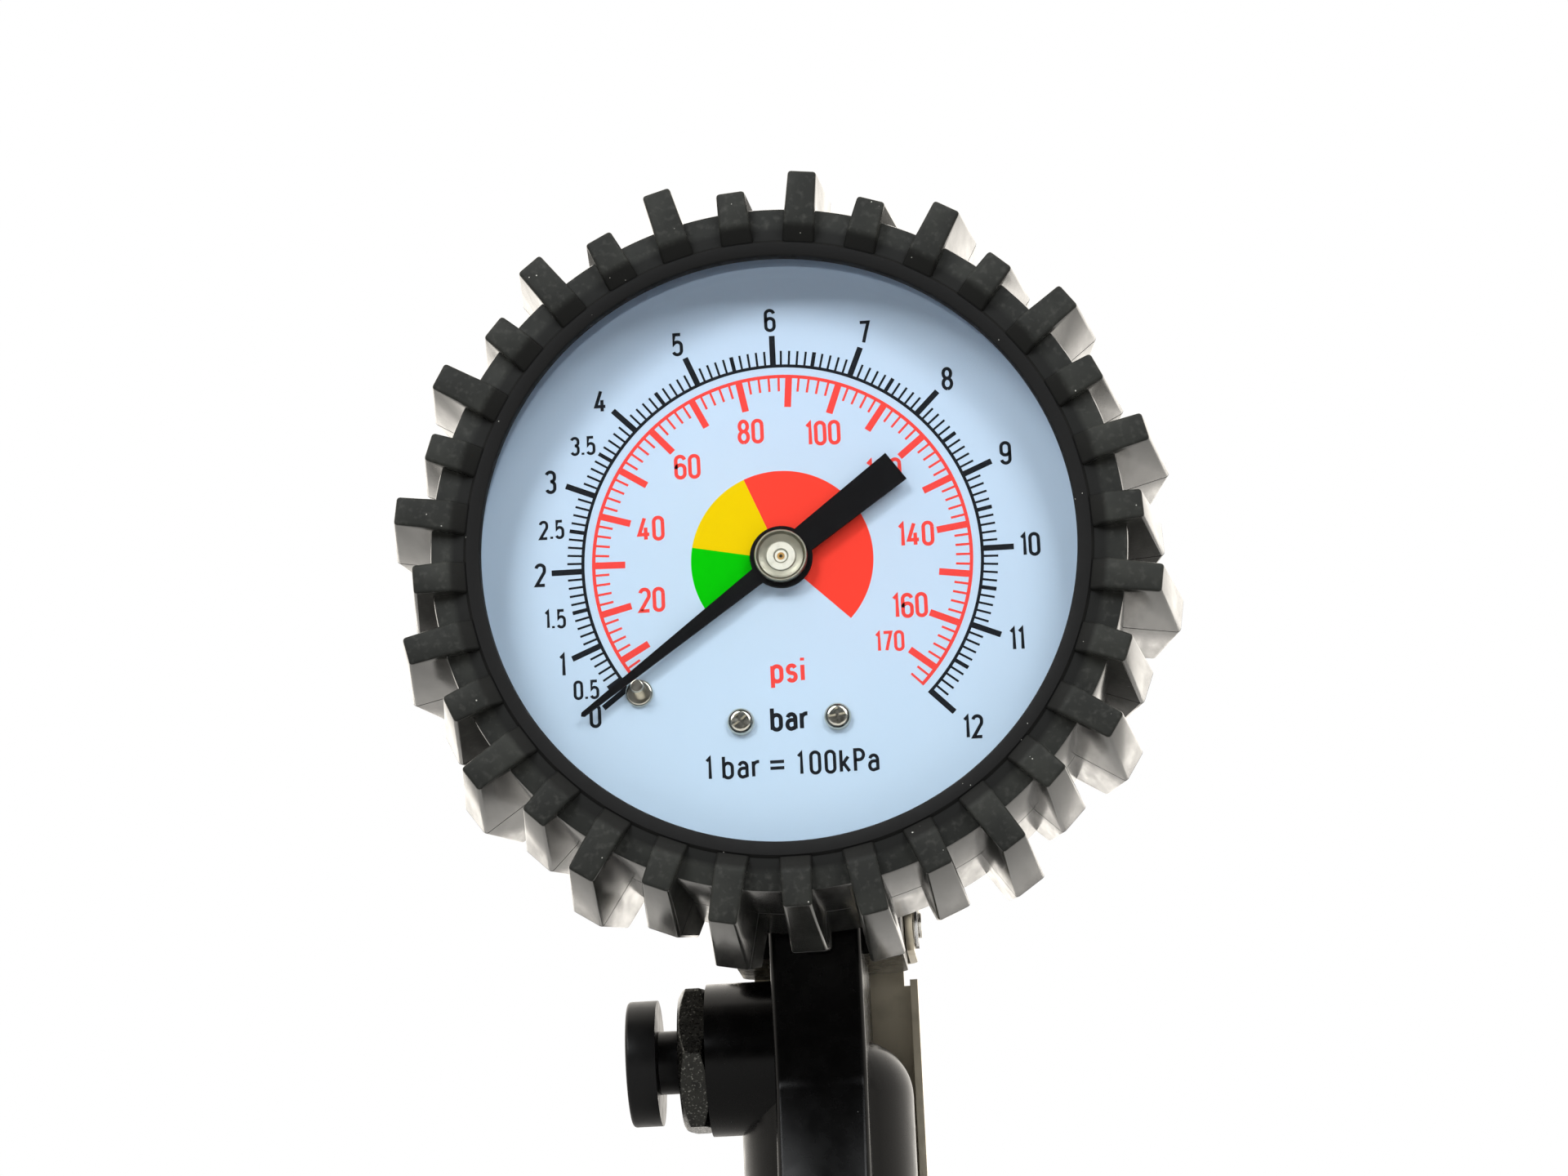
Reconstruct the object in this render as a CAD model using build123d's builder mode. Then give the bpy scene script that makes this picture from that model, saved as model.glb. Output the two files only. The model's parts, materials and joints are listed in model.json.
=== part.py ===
from build123d import *
import os
from math import atan2, cos, degrees, radians, sin

# Hand-held tyre inflator gun with a back-mounted dial gauge in a tread-patterned rubber boot.
# Millimetres, +Z up.  The gauge looks towards -Y and the squeeze lever is on the +Y side.
# The origin is the free end of the air inlet nipple, on the axis of the round handle.

os.makedirs("parts", exist_ok=True)

# ---------------------------------------------------------------- driving dimensions

GAUGE_Z = 193.0            # height of the gauge axis
DIAL_Y = -48.0             # front surface of the dial plate
PORT_Z = 169.0             # gauge stem and hose outlet share this height
PIVOT_Y, PIVOT_Z = 6.0, 154.6   # lever pivot
VALVE_Z = 122.0            # inlet valve, worked by the lever
BLEED_Y, BLEED_Z = -2.0, 137.0  # bleed valve, worked by the side button

RUN = 0.05                 # radial clearance of a running fit
THREAD_R = 6.58            # G1/4 thread, major radius, in the holes
STEM_THREAD_R = 6.50       # the same thread on the pieces that screw in

# boot
BOOT_OPENING_R = 36.1
BOOT_RING_R = 37.9
BOOT_R = 42.2
BOOT_FRONT = 9.0           # heights are measured from the dial towards the viewer
BOOT_MID = -11.0
BOOT_REAR = 2 * BOOT_MID - BOOT_FRONT
LUG_FRONT = 10.5
LUG_PAIRS = 16
LUG_WIDTH = 3.5
LUG_MID_WIDTH = 4.4
LUG_INNER_R = 39.8
LONG_FRONT_R, LONG_MID_R = 46.5, 49.3
SHORT_FRONT_R, SHORT_MID_R = 44.2, 47.0

# case and front
CASE_R = 40.0
CASE_WALL = 1.0
CASE_FRONT = 6.9
CASE_REAR = -29.9
DIAL_R = 38.5
DIAL_T = 0.6
WINDOW_R = 38.6
STEM_V = PORT_Z - GAUGE_Z  # height of the gauge stem below the gauge axis

# pointer and stop
POINTER_REST = 216.0       # degrees, counter-clockwise from the right
POINTER_TIP_R = 31.2
POINTER_TAIL_R = 18.0
STOP_X, STOP_V = -18.15, -15.65
STOP_POST_X, STOP_POST_V = -18.2, -15.25   # the post is a little off its base
SCREW_X, SCREW_V = 5.9, -19.9

# movement
MODULE = 0.25
PINION_TEETH = 10
SECTOR_TEETH = 80          # on the full circle
SECTOR_X, SECTOR_V = 3.5, -10.69
TAIL_X, TAIL_V = 8.12, -14.54
EAR_X, EAR_V = 13.9, -7.6
TUBE_R = 28.0
TUBE_T, TUBE_W = 3.4, 9.0
TUBE_H = -12.0
TUBE_START, TUBE_END = 255.0, -15.0

# handle
BARREL_R = 11.2
BARREL_BOTTOM, BARREL_TOP = 28.0, 138.8
SPINE_W = 11.8
SPINE_Y = -14.0
CREASE_Z = 132.3
PORT_BOSS_R = 9.5
HEAD_X = 11.0
OUTLET_Y = 19.0
INLET_BORE_R = 4.0
PASSAGE_R = 2.0            # the drilled air passages
BLEED_FACE_X = -14.9       # the bleed nut's seat
BLEED_BOSS_R, BLEED_CHAMBER_R, BLEED_BORE_DEPTH = 9.9, 5.6, 16.4
NUT_THREAD_R = 6.5
VALVE_FACE_Y = 12.5        # the valve gland's seat
VALVE_BOSS_R, GLAND_R, VALVE_BORE_DEPTH = 8.0, 5.0, 20.5

# trigger lever
SHEET = 1.0
LEVER_IN = 11.1            # inner face of each flange from the middle
LEVER_OUT = LEVER_IN + SHEET
LEVER_Y = 19.0             # inner face of the web where it meets the valve pin
EAR_LOW, EAR_HIGH = 150.9, 159.5   # the two ears that hold the pin
FLANGE_TOP = 147.9         # the flanges start below a relief notch under the ears
FLANGE_Y = 12.0            # front edge of the flanges near the top
PIN_R = 2.0
CLIP_T = 0.6

GAUGE = Plane(origin=(0, DIAL_Y, GAUGE_Z), x_dir=(1, 0, 0), z_dir=(0, -1, 0))
SECTION = Plane(origin=(0, DIAL_Y, GAUGE_Z), x_dir=(1, 0, 0), z_dir=(0, 0, -1))
GAUGE_AXIS = Axis((0, DIAL_Y, GAUGE_Z), (0, -1, 0))
SIDE = Plane.YZ            # local x is Y, local y is Z, normal +X
GAUGE_PORT = Plane(origin=(0, SPINE_Y, PORT_Z), z_dir=(0, 1, 0))      # bores, all running inwards
HOSE_PORT = Plane(origin=(0, OUTLET_Y, PORT_Z), z_dir=(0, -1, 0))
BLEED_BORE = Plane(origin=(BLEED_FACE_X, BLEED_Y, BLEED_Z), z_dir=(1, 0, 0))
VALVE_BORE = Plane(origin=(0, VALVE_FACE_Y, VALVE_Z), z_dir=(0, -1, 0))
PIN_BORE_LENGTH = 30.0
PIN_BORE = Plane(origin=(-PIN_BORE_LENGTH / 2, PIVOT_Y, PIVOT_Z), z_dir=(1, 0, 0))


def polar(radius, angle):
    """Point on the dial plane at a radius and an angle in degrees."""
    return (radius * cos(radians(angle)), radius * sin(radians(angle)))


def turned_face(height, angle):
    """Plane parallel to the dial whose local x points along an angle on the dial."""
    return Plane(origin=(0, DIAL_Y - height, GAUGE_Z), z_dir=(0, -1, 0),
                 x_dir=(cos(radians(angle)), 0, sin(radians(angle))))


def finish(part, label):
    """Label a piece and write it."""
    part.label = label
    export_step(part, f"parts/{label}.step")


def turned(profile):
    """Revolve a profile of (radius, height) points about the gauge axis."""
    with BuildPart() as made:
        with BuildSketch(SECTION):
            Polygon(*profile, align=None)
        revolve(axis=GAUGE_AXIS)
    return made.part


def disc(radius, low, high, x=0.0, v=0.0, hole=0.0):
    """Disc or washer parallel to the dial, between two heights."""
    with BuildPart() as made:
        with BuildSketch(GAUGE.offset(low)):
            with Locations((x, v)):
                Circle(radius)
                if hole > 0:
                    Circle(hole, mode=Mode.SUBTRACT)
        extrude(amount=high - low)
    return made.part


def rod(plane, radius, length):
    """Cylinder that starts on a plane and runs along its normal."""
    with BuildPart() as made:
        with BuildSketch(plane):
            Circle(radius)
        extrude(amount=length)
    return made.part


def coil(plane, radius, wire, length, turns):
    """Open helical spring that starts on a plane, with its axis along the plane's normal."""
    with BuildPart() as made:
        with BuildLine():
            path = Helix(pitch=(length - 2 * wire) / turns, height=length - 2 * wire, radius=radius)
        with BuildSketch(Plane(origin=path @ 0, z_dir=path % 0)):
            Circle(wire)
        sweep(path=path, is_frenet=True)
    return made.part.moved(plane.offset(wire).location)


# ---------------------------------------------------------------- rubber boot

def tread_lug(front_r, mid_r):
    """One lug at angle 0: two tapered halves that meet at the parting plane, and a sloped inner end."""
    with BuildPart() as lug:
        with BuildSketch(SECTION.offset(-LUG_MID_WIDTH / 2)):
            Polygon((BOOT_R - 1, BOOT_MID), (mid_r, BOOT_MID), (front_r, LUG_FRONT),
                    (LUG_INNER_R, LUG_FRONT), (BOOT_RING_R, BOOT_FRONT - 0.1),
                    (BOOT_RING_R, BOOT_FRONT - 0.6), (BOOT_R - 1, BOOT_FRONT - 0.6), align=None)
        extrude(amount=LUG_MID_WIDTH)
        draft = degrees(atan2((LUG_MID_WIDTH - LUG_WIDTH) / 2, LUG_FRONT - BOOT_MID))
        for side in (-1, 1):
            flank = Plane(origin=(BOOT_R, DIAL_Y - BOOT_MID, GAUGE_Z + side * LUG_MID_WIDTH / 2),
                          x_dir=(1, 0, 0), z_dir=(0, sin(radians(draft)), -side * cos(radians(draft))))
            split(bisect_by=flank, keep=Keep.TOP)
        mirror(about=GAUGE.offset(BOOT_MID))
    return lug.part


def lug_angle(nominal):
    """The boot is stretched over the case, so the lugs crowd a little towards the bottom."""
    return nominal + 2.1 * sin(radians(nominal))


with BuildPart() as gauge_boot:
    with BuildSketch(SECTION):
        Polygon((BOOT_OPENING_R, BOOT_FRONT), (BOOT_RING_R, BOOT_FRONT),
                (BOOT_RING_R + 0.3, BOOT_FRONT - 0.4), (BOOT_R - 0.8, BOOT_FRONT - 0.4),
                (BOOT_R, BOOT_FRONT - 1.2), (BOOT_R, BOOT_REAR + 0.8), (BOOT_R - 0.8, BOOT_REAR),
                (34.0, BOOT_REAR), (34.0, CASE_REAR - 0.1), (CASE_R + RUN, CASE_REAR - 0.1),
                (CASE_R + RUN, CASE_FRONT + 0.1), (BOOT_OPENING_R + 0.3, CASE_FRONT + 0.1),
                (BOOT_OPENING_R, CASE_FRONT + 0.4), align=None)
    revolve(axis=GAUGE_AXIS)
    long_lug = tread_lug(LONG_FRONT_R, LONG_MID_R)
    short_lug = tread_lug(SHORT_FRONT_R, SHORT_MID_R)
    for pair in range(LUG_PAIRS):
        step = 360 / LUG_PAIRS
        add(long_lug.rotate(GAUGE_AXIS, lug_angle(81.5 - step * pair)))
        add(short_lug.rotate(GAUGE_AXIS, lug_angle(81.5 - step * (pair + 0.5))))
finish(gauge_boot.part, "gauge_boot")

# ---------------------------------------------------------------- case, front ring, window, dial

with BuildPart() as gauge_case:
    with BuildSketch(SECTION):
        Polygon((0, CASE_REAR), (CASE_R - 1.5, CASE_REAR), (CASE_R, CASE_REAR + 1.5),
                (CASE_R, CASE_FRONT), (CASE_R - CASE_WALL, CASE_FRONT),
                (CASE_R - CASE_WALL, CASE_REAR + 2), (CASE_R - CASE_WALL - 0.5, CASE_REAR + 1.5),
                (0, CASE_REAR + 1.5), align=None)
    revolve(axis=GAUGE_AXIS)
    with BuildSketch(GAUGE.offset(CASE_REAR - 1)):
        with Locations((0, STEM_V)):
            Circle(7.2)
    extrude(amount=4, mode=Mode.SUBTRACT)
finish(gauge_case.part, "gauge_case")

with BuildPart() as bezel_ring:
    add(turned([(36.7, 6.0), (38.9, 6.0), (38.9, CASE_FRONT), (37.1, CASE_FRONT), (36.7, 6.5)]))
finish(bezel_ring.part, "bezel_ring")

with BuildPart() as window_gasket:
    add(turned([(37.0, 5.4), (38.6, 5.4), (38.6, 5.98), (37.0, 5.98)]))
finish(window_gasket.part, "window_gasket")

with BuildPart() as window:
    add(turned([(0, 3.8), (37.2, 3.8), (37.2, 0.2), (38.2, 0.2), (38.2, 3.6), (WINDOW_R, 3.8),
                (WINDOW_R, 5.38), (0, 5.38)]))
finish(window.part, "window")

with BuildPart() as dial_plate:
    with BuildSketch(GAUGE.offset(-DIAL_T)):
        Circle(DIAL_R)
        Circle(1.8, mode=Mode.SUBTRACT)
        with Locations((-SCREW_X, SCREW_V), (SCREW_X, SCREW_V)):
            Circle(1.1, mode=Mode.SUBTRACT)
        with Locations((STOP_X, STOP_V)):
            Circle(0.75, mode=Mode.SUBTRACT)
    extrude(amount=DIAL_T)
finish(dial_plate.part, "dial_plate")

with BuildPart() as dial_screws:
    with Locations(GAUGE):
        with Locations((-SCREW_X, SCREW_V, 0), (SCREW_X, SCREW_V, 0)):
            with Locations((0, 0, 0.65)):
                Cylinder(1.65, 1.3)
            with Locations((0, 0, -2.75)):
                Cylinder(0.95, 5.5)
    rims = dial_screws.edges().filter_by(GeomType.CIRCLE).group_by(Axis.Y)[0]
    fillet(rims, radius=0.7)
    with Locations(GAUGE):
        for x, turn in ((-SCREW_X, 38), (SCREW_X, 8)):
            with Locations(Location((x, SCREW_V, 1.15), (0, 0, turn))):
                Box(2.1, 0.42, 1.0, mode=Mode.SUBTRACT)
                Box(0.42, 2.1, 1.0, mode=Mode.SUBTRACT)
finish(dial_screws.part, "dial_screws")

with BuildPart() as stop_pin:
    add(disc(1.7, 0.0, 0.8, STOP_X, STOP_V))
    fillet(stop_pin.edges().group_by(Axis.Y)[0], radius=0.35)
    add(disc(0.82, 0.8, 3.3, STOP_POST_X, STOP_POST_V))
    fillet(stop_pin.edges().group_by(Axis.Y)[0], radius=0.15)
    add(disc(0.7, -1.2, 0.0, STOP_X, STOP_V))
finish(stop_pin.part, "stop_pin")

# ---------------------------------------------------------------- pointer and its shaft

POINTER_LOW, POINTER_HIGH = 1.4, 1.9
CAP_HIGH = 2.9
SHAFT_R = 0.75
POINTER_PLANE = turned_face(POINTER_LOW, POINTER_REST)

with BuildPart() as pointer:
    with BuildSketch(POINTER_PLANE):
        Polygon((0, -1.15), (POINTER_TIP_R - 0.3, -0.3), (POINTER_TIP_R, 0),
                (POINTER_TIP_R - 0.3, 0.3), (0, 1.15), align=None)
        Polygon((0, -1.6), (-POINTER_TAIL_R, -2.05), (-POINTER_TAIL_R, 2.05), (0, 1.6), align=None)
        Circle(3.85)
        Circle(1.5, mode=Mode.SUBTRACT)
    extrude(amount=POINTER_HIGH - POINTER_LOW)
finish(pointer.part, "pointer")

with BuildPart() as pointer_cap:
    add(turned([(SHAFT_R, 0.6), (1.5, 0.6), (1.5, POINTER_HIGH), (3.25, POINTER_HIGH),
                (3.25, CAP_HIGH - 0.15), (3.18, CAP_HIGH), (3.0, CAP_HIGH), (2.9, CAP_HIGH - 0.12),
                (2.75, CAP_HIGH - 0.42), (1.85, CAP_HIGH - 0.60), (1.75, CAP_HIGH - 0.48),
                (0.95, CAP_HIGH - 0.48), (SHAFT_R, CAP_HIGH - 0.68)]))
finish(pointer_cap.part, "pointer_cap")


def tooth(x, v, angle, root_r, tip_r, root_w, pitch_r, pitch_w, tip_w):
    """Outline of one gear tooth whose gear is centred at (x, v)."""
    points = []
    for radius, width in ((root_r - 0.2, root_w), (root_r, root_w), (pitch_r, pitch_w), (tip_r, tip_w)):
        points.append((radius, -width / 2))
    for radius, width in ((tip_r, tip_w), (pitch_r, pitch_w), (root_r, root_w), (root_r - 0.2, root_w)):
        points.append((radius, width / 2))
    turn = radians(angle)
    return [(x + r * cos(turn) - w * sin(turn), v + r * sin(turn) + w * cos(turn)) for r, w in points]


PINION_PITCH_R = MODULE * PINION_TEETH / 2
SECTOR_PITCH_R = MODULE * SECTOR_TEETH / 2
MESH_ANGLE = degrees(atan2(-SECTOR_V, -SECTOR_X))   # from the sector's pivot to the pinion
PINION_PITCH_ANGLE = 360 / PINION_TEETH
SECTOR_PITCH_ANGLE = 360 / SECTOR_TEETH

with BuildPart() as pinion_shaft:
    with BuildSketch(GAUGE.offset(-13.9)):
        Circle(SHAFT_R)
    extrude(amount=13.9 + CAP_HIGH - 0.6)
    with BuildSketch(GAUGE.offset(-10.7)):
        Circle(0.93)
        for index in range(PINION_TEETH):
            angle = MESH_ANGLE + 180 + PINION_PITCH_ANGLE * (index + 0.5)
            Polygon(*tooth(0, 0, angle, 0.93, 1.45, 0.30, PINION_PITCH_R, 0.30, 0.14), align=None)
    extrude(amount=1.4)
finish(pinion_shaft.part, "pinion_shaft")

with BuildPart() as sector_gear:
    with BuildSketch(GAUGE.offset(-10.4)):
        root_r = SECTOR_PITCH_R - 0.30
        start = MESH_ANGLE + SECTOR_PITCH_ANGLE * 1.5
        stop = MESH_ANGLE - SECTOR_PITCH_ANGLE * 8.5
        with BuildLine():
            pivot = (SECTOR_X, SECTOR_V)
            first = (SECTOR_X + root_r * cos(radians(start)), SECTOR_V + root_r * sin(radians(start)))
            last = (SECTOR_X + root_r * cos(radians(stop)), SECTOR_V + root_r * sin(radians(stop)))
            middle = radians((start + stop) / 2)
            crown = (SECTOR_X + root_r * cos(middle), SECTOR_V + root_r * sin(middle))
            Line(pivot, first)
            ThreePointArc(first, crown, last)
            Line(last, pivot)
        make_face()
        window_r = root_r - 1.6
        with BuildLine():
            inner = 3.2
            low, high = radians(stop + 8), radians(start - 8)
            a = (SECTOR_X + inner * cos(low), SECTOR_V + inner * sin(low))
            b = (SECTOR_X + window_r * cos(low), SECTOR_V + window_r * sin(low))
            c = (SECTOR_X + window_r * cos(middle), SECTOR_V + window_r * sin(middle))
            d = (SECTOR_X + window_r * cos(high), SECTOR_V + window_r * sin(high))
            e = (SECTOR_X + inner * cos(high), SECTOR_V + inner * sin(high))
            Line(a, b)
            ThreePointArc(b, c, d)
            Line(d, e)
            Line(e, a)
        make_face(mode=Mode.SUBTRACT)
        for index in range(-8, 2):
            angle = MESH_ANGLE + SECTOR_PITCH_ANGLE * index
            Polygon(*tooth(SECTOR_X, SECTOR_V, angle, root_r, SECTOR_PITCH_R + 0.2, 0.46,
                           SECTOR_PITCH_R, 0.32, 0.18), align=None)
        with Locations((SECTOR_X, SECTOR_V)):
            Circle(1.8)
        with BuildLine():
            tail_line = Line((SECTOR_X, SECTOR_V), (TAIL_X, TAIL_V))
        with Locations((TAIL_X, TAIL_V)):
            Circle(1.0)
        trace(tail_line, line_width=1.8)
    extrude(amount=0.8)
    add(disc(0.6, -13.9, -4.1, SECTOR_X, SECTOR_V))
    add(disc(1.0, -12.6, -5.3, SECTOR_X, SECTOR_V))
    add(disc(0.5, -12.2, -10.0, TAIL_X, TAIL_V))
finish(sector_gear.part, "sector_gear")

with BuildPart() as hairspring:
    with BuildSketch(GAUGE.offset(-7.6)):
        with BuildLine() as spiral:
            radius, centre = 1.45, 0.0
            growth = 0.22
            for half in range(11):
                sign = 1 if half % 2 == 0 else -1
                start_x = centre + sign * radius
                end_x = centre - sign * radius
                ThreePointArc((start_x, 0), (centre, sign * radius), (end_x, 0))
                centre = centre + sign * growth / 2
                radius = radius + growth / 2
        trace(spiral.line, line_width=0.1)
        Circle(1.5)
        Circle(SHAFT_R, mode=Mode.SUBTRACT)
    extrude(amount=0.7)
finish(hairspring.part, "hairspring")

# ---------------------------------------------------------------- movement frame

PLATE_LOW_V, PLATE_HIGH_V = -17.6, 7.4
PLATE_LEFT, PLATE_RIGHT = -10.2, 12.0
PILLARS = ((-8.2, 5.4), (10.0, 5.4), (-8.2, -13.0))


def movement_plate(low, high, hole_r):
    """One plate of the movement with its pivot holes and screw holes."""
    with BuildPart() as plate:
        with BuildSketch(GAUGE.offset(low)):
            with Locations(((PLATE_LEFT + PLATE_RIGHT) / 2, (PLATE_LOW_V + PLATE_HIGH_V) / 2)):
                RectangleRounded(PLATE_RIGHT - PLATE_LEFT, PLATE_HIGH_V - PLATE_LOW_V, 2.0)
            Circle(SHAFT_R + RUN, mode=Mode.SUBTRACT)
            with Locations((SECTOR_X, SECTOR_V)):
                Circle(0.6 + RUN, mode=Mode.SUBTRACT)
            with Locations(*PILLARS):
                Circle(hole_r, mode=Mode.SUBTRACT)
        extrude(amount=high - low)
    return plate.part


SOCKET_FRONT = -14.0
with BuildPart() as movement_back_plate:
    add(movement_plate(SOCKET_FRONT, -13.0, 0.7))
    with BuildSketch(GAUGE.offset(SOCKET_FRONT)):
        with Locations((-4.0, -16.1), (4.0, -16.1)):
            Circle(0.7)
    extrude(amount=1.0, mode=Mode.SUBTRACT)
finish(movement_back_plate.part, "movement_back_plate")

with BuildPart() as movement_front_plate:
    add(movement_plate(-5.0, -4.0, 0.9))
finish(movement_front_plate.part, "movement_front_plate")

with BuildPart() as movement_pillars:
    for x, v in PILLARS:
        add(disc(1.5, -13.0, -5.0, x, v))
        add(disc(0.65, -14.0, -13.0, x, v))
    with BuildSketch(GAUGE.offset(-9.0)):
        with Locations(*PILLARS):
            Circle(0.85)
    extrude(amount=4.0, mode=Mode.SUBTRACT)
finish(movement_pillars.part, "movement_pillars")


def slotted_screws(places, seat, head_r, shank_r, shank_length):
    """Cheese-head screws with a straight slot, seated on a height."""
    with BuildPart() as screws:
        for x, v in places:
            add(disc(head_r, seat, seat + 0.9, x, v))
            add(disc(shank_r, seat - shank_length, seat, x, v))
        with BuildSketch(GAUGE.offset(seat + 0.5)):
            with Locations(*places):
                Rectangle(2 * head_r + 0.2, 0.35)
        extrude(amount=1.0, mode=Mode.SUBTRACT)
    return screws.part


with BuildPart() as movement_screws:
    add(slotted_screws(PILLARS, -4.0, 1.6, 0.8, 4.5))
finish(movement_screws.part, "movement_screws")

with BuildPart() as socket_screws:
    add(slotted_screws(((-4.0, -16.1), (4.0, -16.1)), -13.0, 1.3, 0.65, 4.5))
finish(socket_screws.part, "socket_screws")

# ---------------------------------------------------------------- bourdon tube, tip, link, socket


def tube_section(width, thickness):
    """Flattened tube section on the radial plane, swept about the gauge axis."""
    swing = TUBE_START - TUBE_END
    with BuildPart() as tube:
        with BuildSketch(SECTION):
            with Locations((TUBE_R, TUBE_H)):
                SlotOverall(width, thickness, rotation=90)
        revolve(axis=GAUGE_AXIS, revolution_arc=swing)
    return tube.part.rotate(GAUGE_AXIS, TUBE_END)


tube_outer = tube_section(TUBE_W, TUBE_T)
with BuildPart() as bourdon_tube:
    add(tube_outer)
    add(tube_section(TUBE_W - 0.7, TUBE_T - 0.7), mode=Mode.SUBTRACT)
finish(bourdon_tube.part, "bourdon_tube")

with BuildPart() as tube_tip:
    with BuildSketch(turned_face(TUBE_H - TUBE_W / 2 - 0.6, TUBE_END)):
        with Locations((TUBE_R, -2.0)):
            RectangleRounded(TUBE_T + 1.6, 4.0, 0.6)
    extrude(amount=TUBE_W + 1.2)
    end_x, end_v = polar(TUBE_R, TUBE_END)
    with BuildSketch(GAUGE.offset(-13.0)):
        with BuildLine():
            ear_line = Line((EAR_X, EAR_V), (end_x - 1.6, end_v - 2.4))
        trace(ear_line, line_width=2.2)
        with Locations((EAR_X, EAR_V)):
            Circle(1.4)
    extrude(amount=1.0)
    add(disc(0.5, -13.0, -10.7, EAR_X, EAR_V))
finish(tube_tip.part, "tube_tip")

with BuildPart() as tip_link:
    with BuildSketch(GAUGE.offset(-11.7)):
        with BuildLine():
            link_line = Line((TAIL_X, TAIL_V), (EAR_X, EAR_V))
        trace(link_line, line_width=2.0)
        with Locations((TAIL_X, TAIL_V), (EAR_X, EAR_V)):
            Circle(1.5)
        with Locations((EAR_X, EAR_V)):
            Circle(0.5 + RUN, mode=Mode.SUBTRACT)
        with Locations((TAIL_X, TAIL_V)):
            Circle(0.85, mode=Mode.SUBTRACT)
    extrude(amount=0.8)
finish(tip_link.part, "tip_link")

with BuildPart() as gauge_socket:
    with BuildSketch(GAUGE.offset(-26.0)):
        with Locations((0, -21.25)):
            Rectangle(18, 13.5)
    extrude(amount=12.0)
    for x in (-SCREW_X, SCREW_X):
        add(disc(1.8, SOCKET_FRONT, -DIAL_T, x, SCREW_V))
    add(disc(6.9, -30.0, -26.0, 0, STEM_V))
    with BuildSketch(GAUGE.offset(-33.0)):
        with Locations((0, STEM_V)):
            RegularPolygon(radius=7.5, side_count=6, major_radius=False)
    extrude(amount=3.0)
    add(disc(STEM_THREAD_R, -43.0, -33.0, 0, STEM_V))
    with BuildSketch(GAUGE.offset(-43.0)):
        with Locations((0, STEM_V)):
            Circle(2.0)
    extrude(amount=26.0, mode=Mode.SUBTRACT)
    with BuildSketch(GAUGE.offset(-6.2)):
        with Locations((-SCREW_X, SCREW_V), (SCREW_X, SCREW_V)):
            Circle(1.0)
    extrude(amount=6.0, mode=Mode.SUBTRACT)
    with BuildSketch(GAUGE.offset(-18.0)):
        with Locations((-4.0, -16.1), (4.0, -16.1)):
            Circle(0.7)
    extrude(amount=4.0, mode=Mode.SUBTRACT)
    add(tube_outer, mode=Mode.SUBTRACT)
finish(gauge_socket.part, "gauge_socket")

with BuildPart() as stem_washer:
    add(disc(8.5, -34.0, -33.0, 0, STEM_V, hole=6.6))
finish(stem_washer.part, "stem_washer")

# ---------------------------------------------------------------- handle casting

with BuildPart() as spine:
    with BuildSketch(SIDE.offset(-SPINE_W / 2)):
        with BuildLine():
            Polyline((0, 178), (SPINE_Y, 178), (SPINE_Y, CREASE_Z))
            Spline((SPINE_Y, CREASE_Z), (-19.3, 112), (-21.2, 94), (-18.5, 72), (-13.5, 46),
                   tangents=((-0.28, -1), (0.05, -1)))
            Polyline((-13.5, 46), (-11.0, 40), (0, 40), (9.0, 60), (9.0, 178), (0, 178))
        make_face()
    extrude(amount=SPINE_W)
    crease = spine.edges().filter_by(Axis.X).sort_by_distance((0, SPINE_Y, CREASE_Z))[0]
    fillet(crease, radius=6.0)
    rails = spine.edges().filter_by(
        lambda e: e.center().Y < SPINE_Y + 4 and abs(abs(e.center().X) - SPINE_W / 2) < 0.1)
    fillet(rails, radius=0.8)

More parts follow.
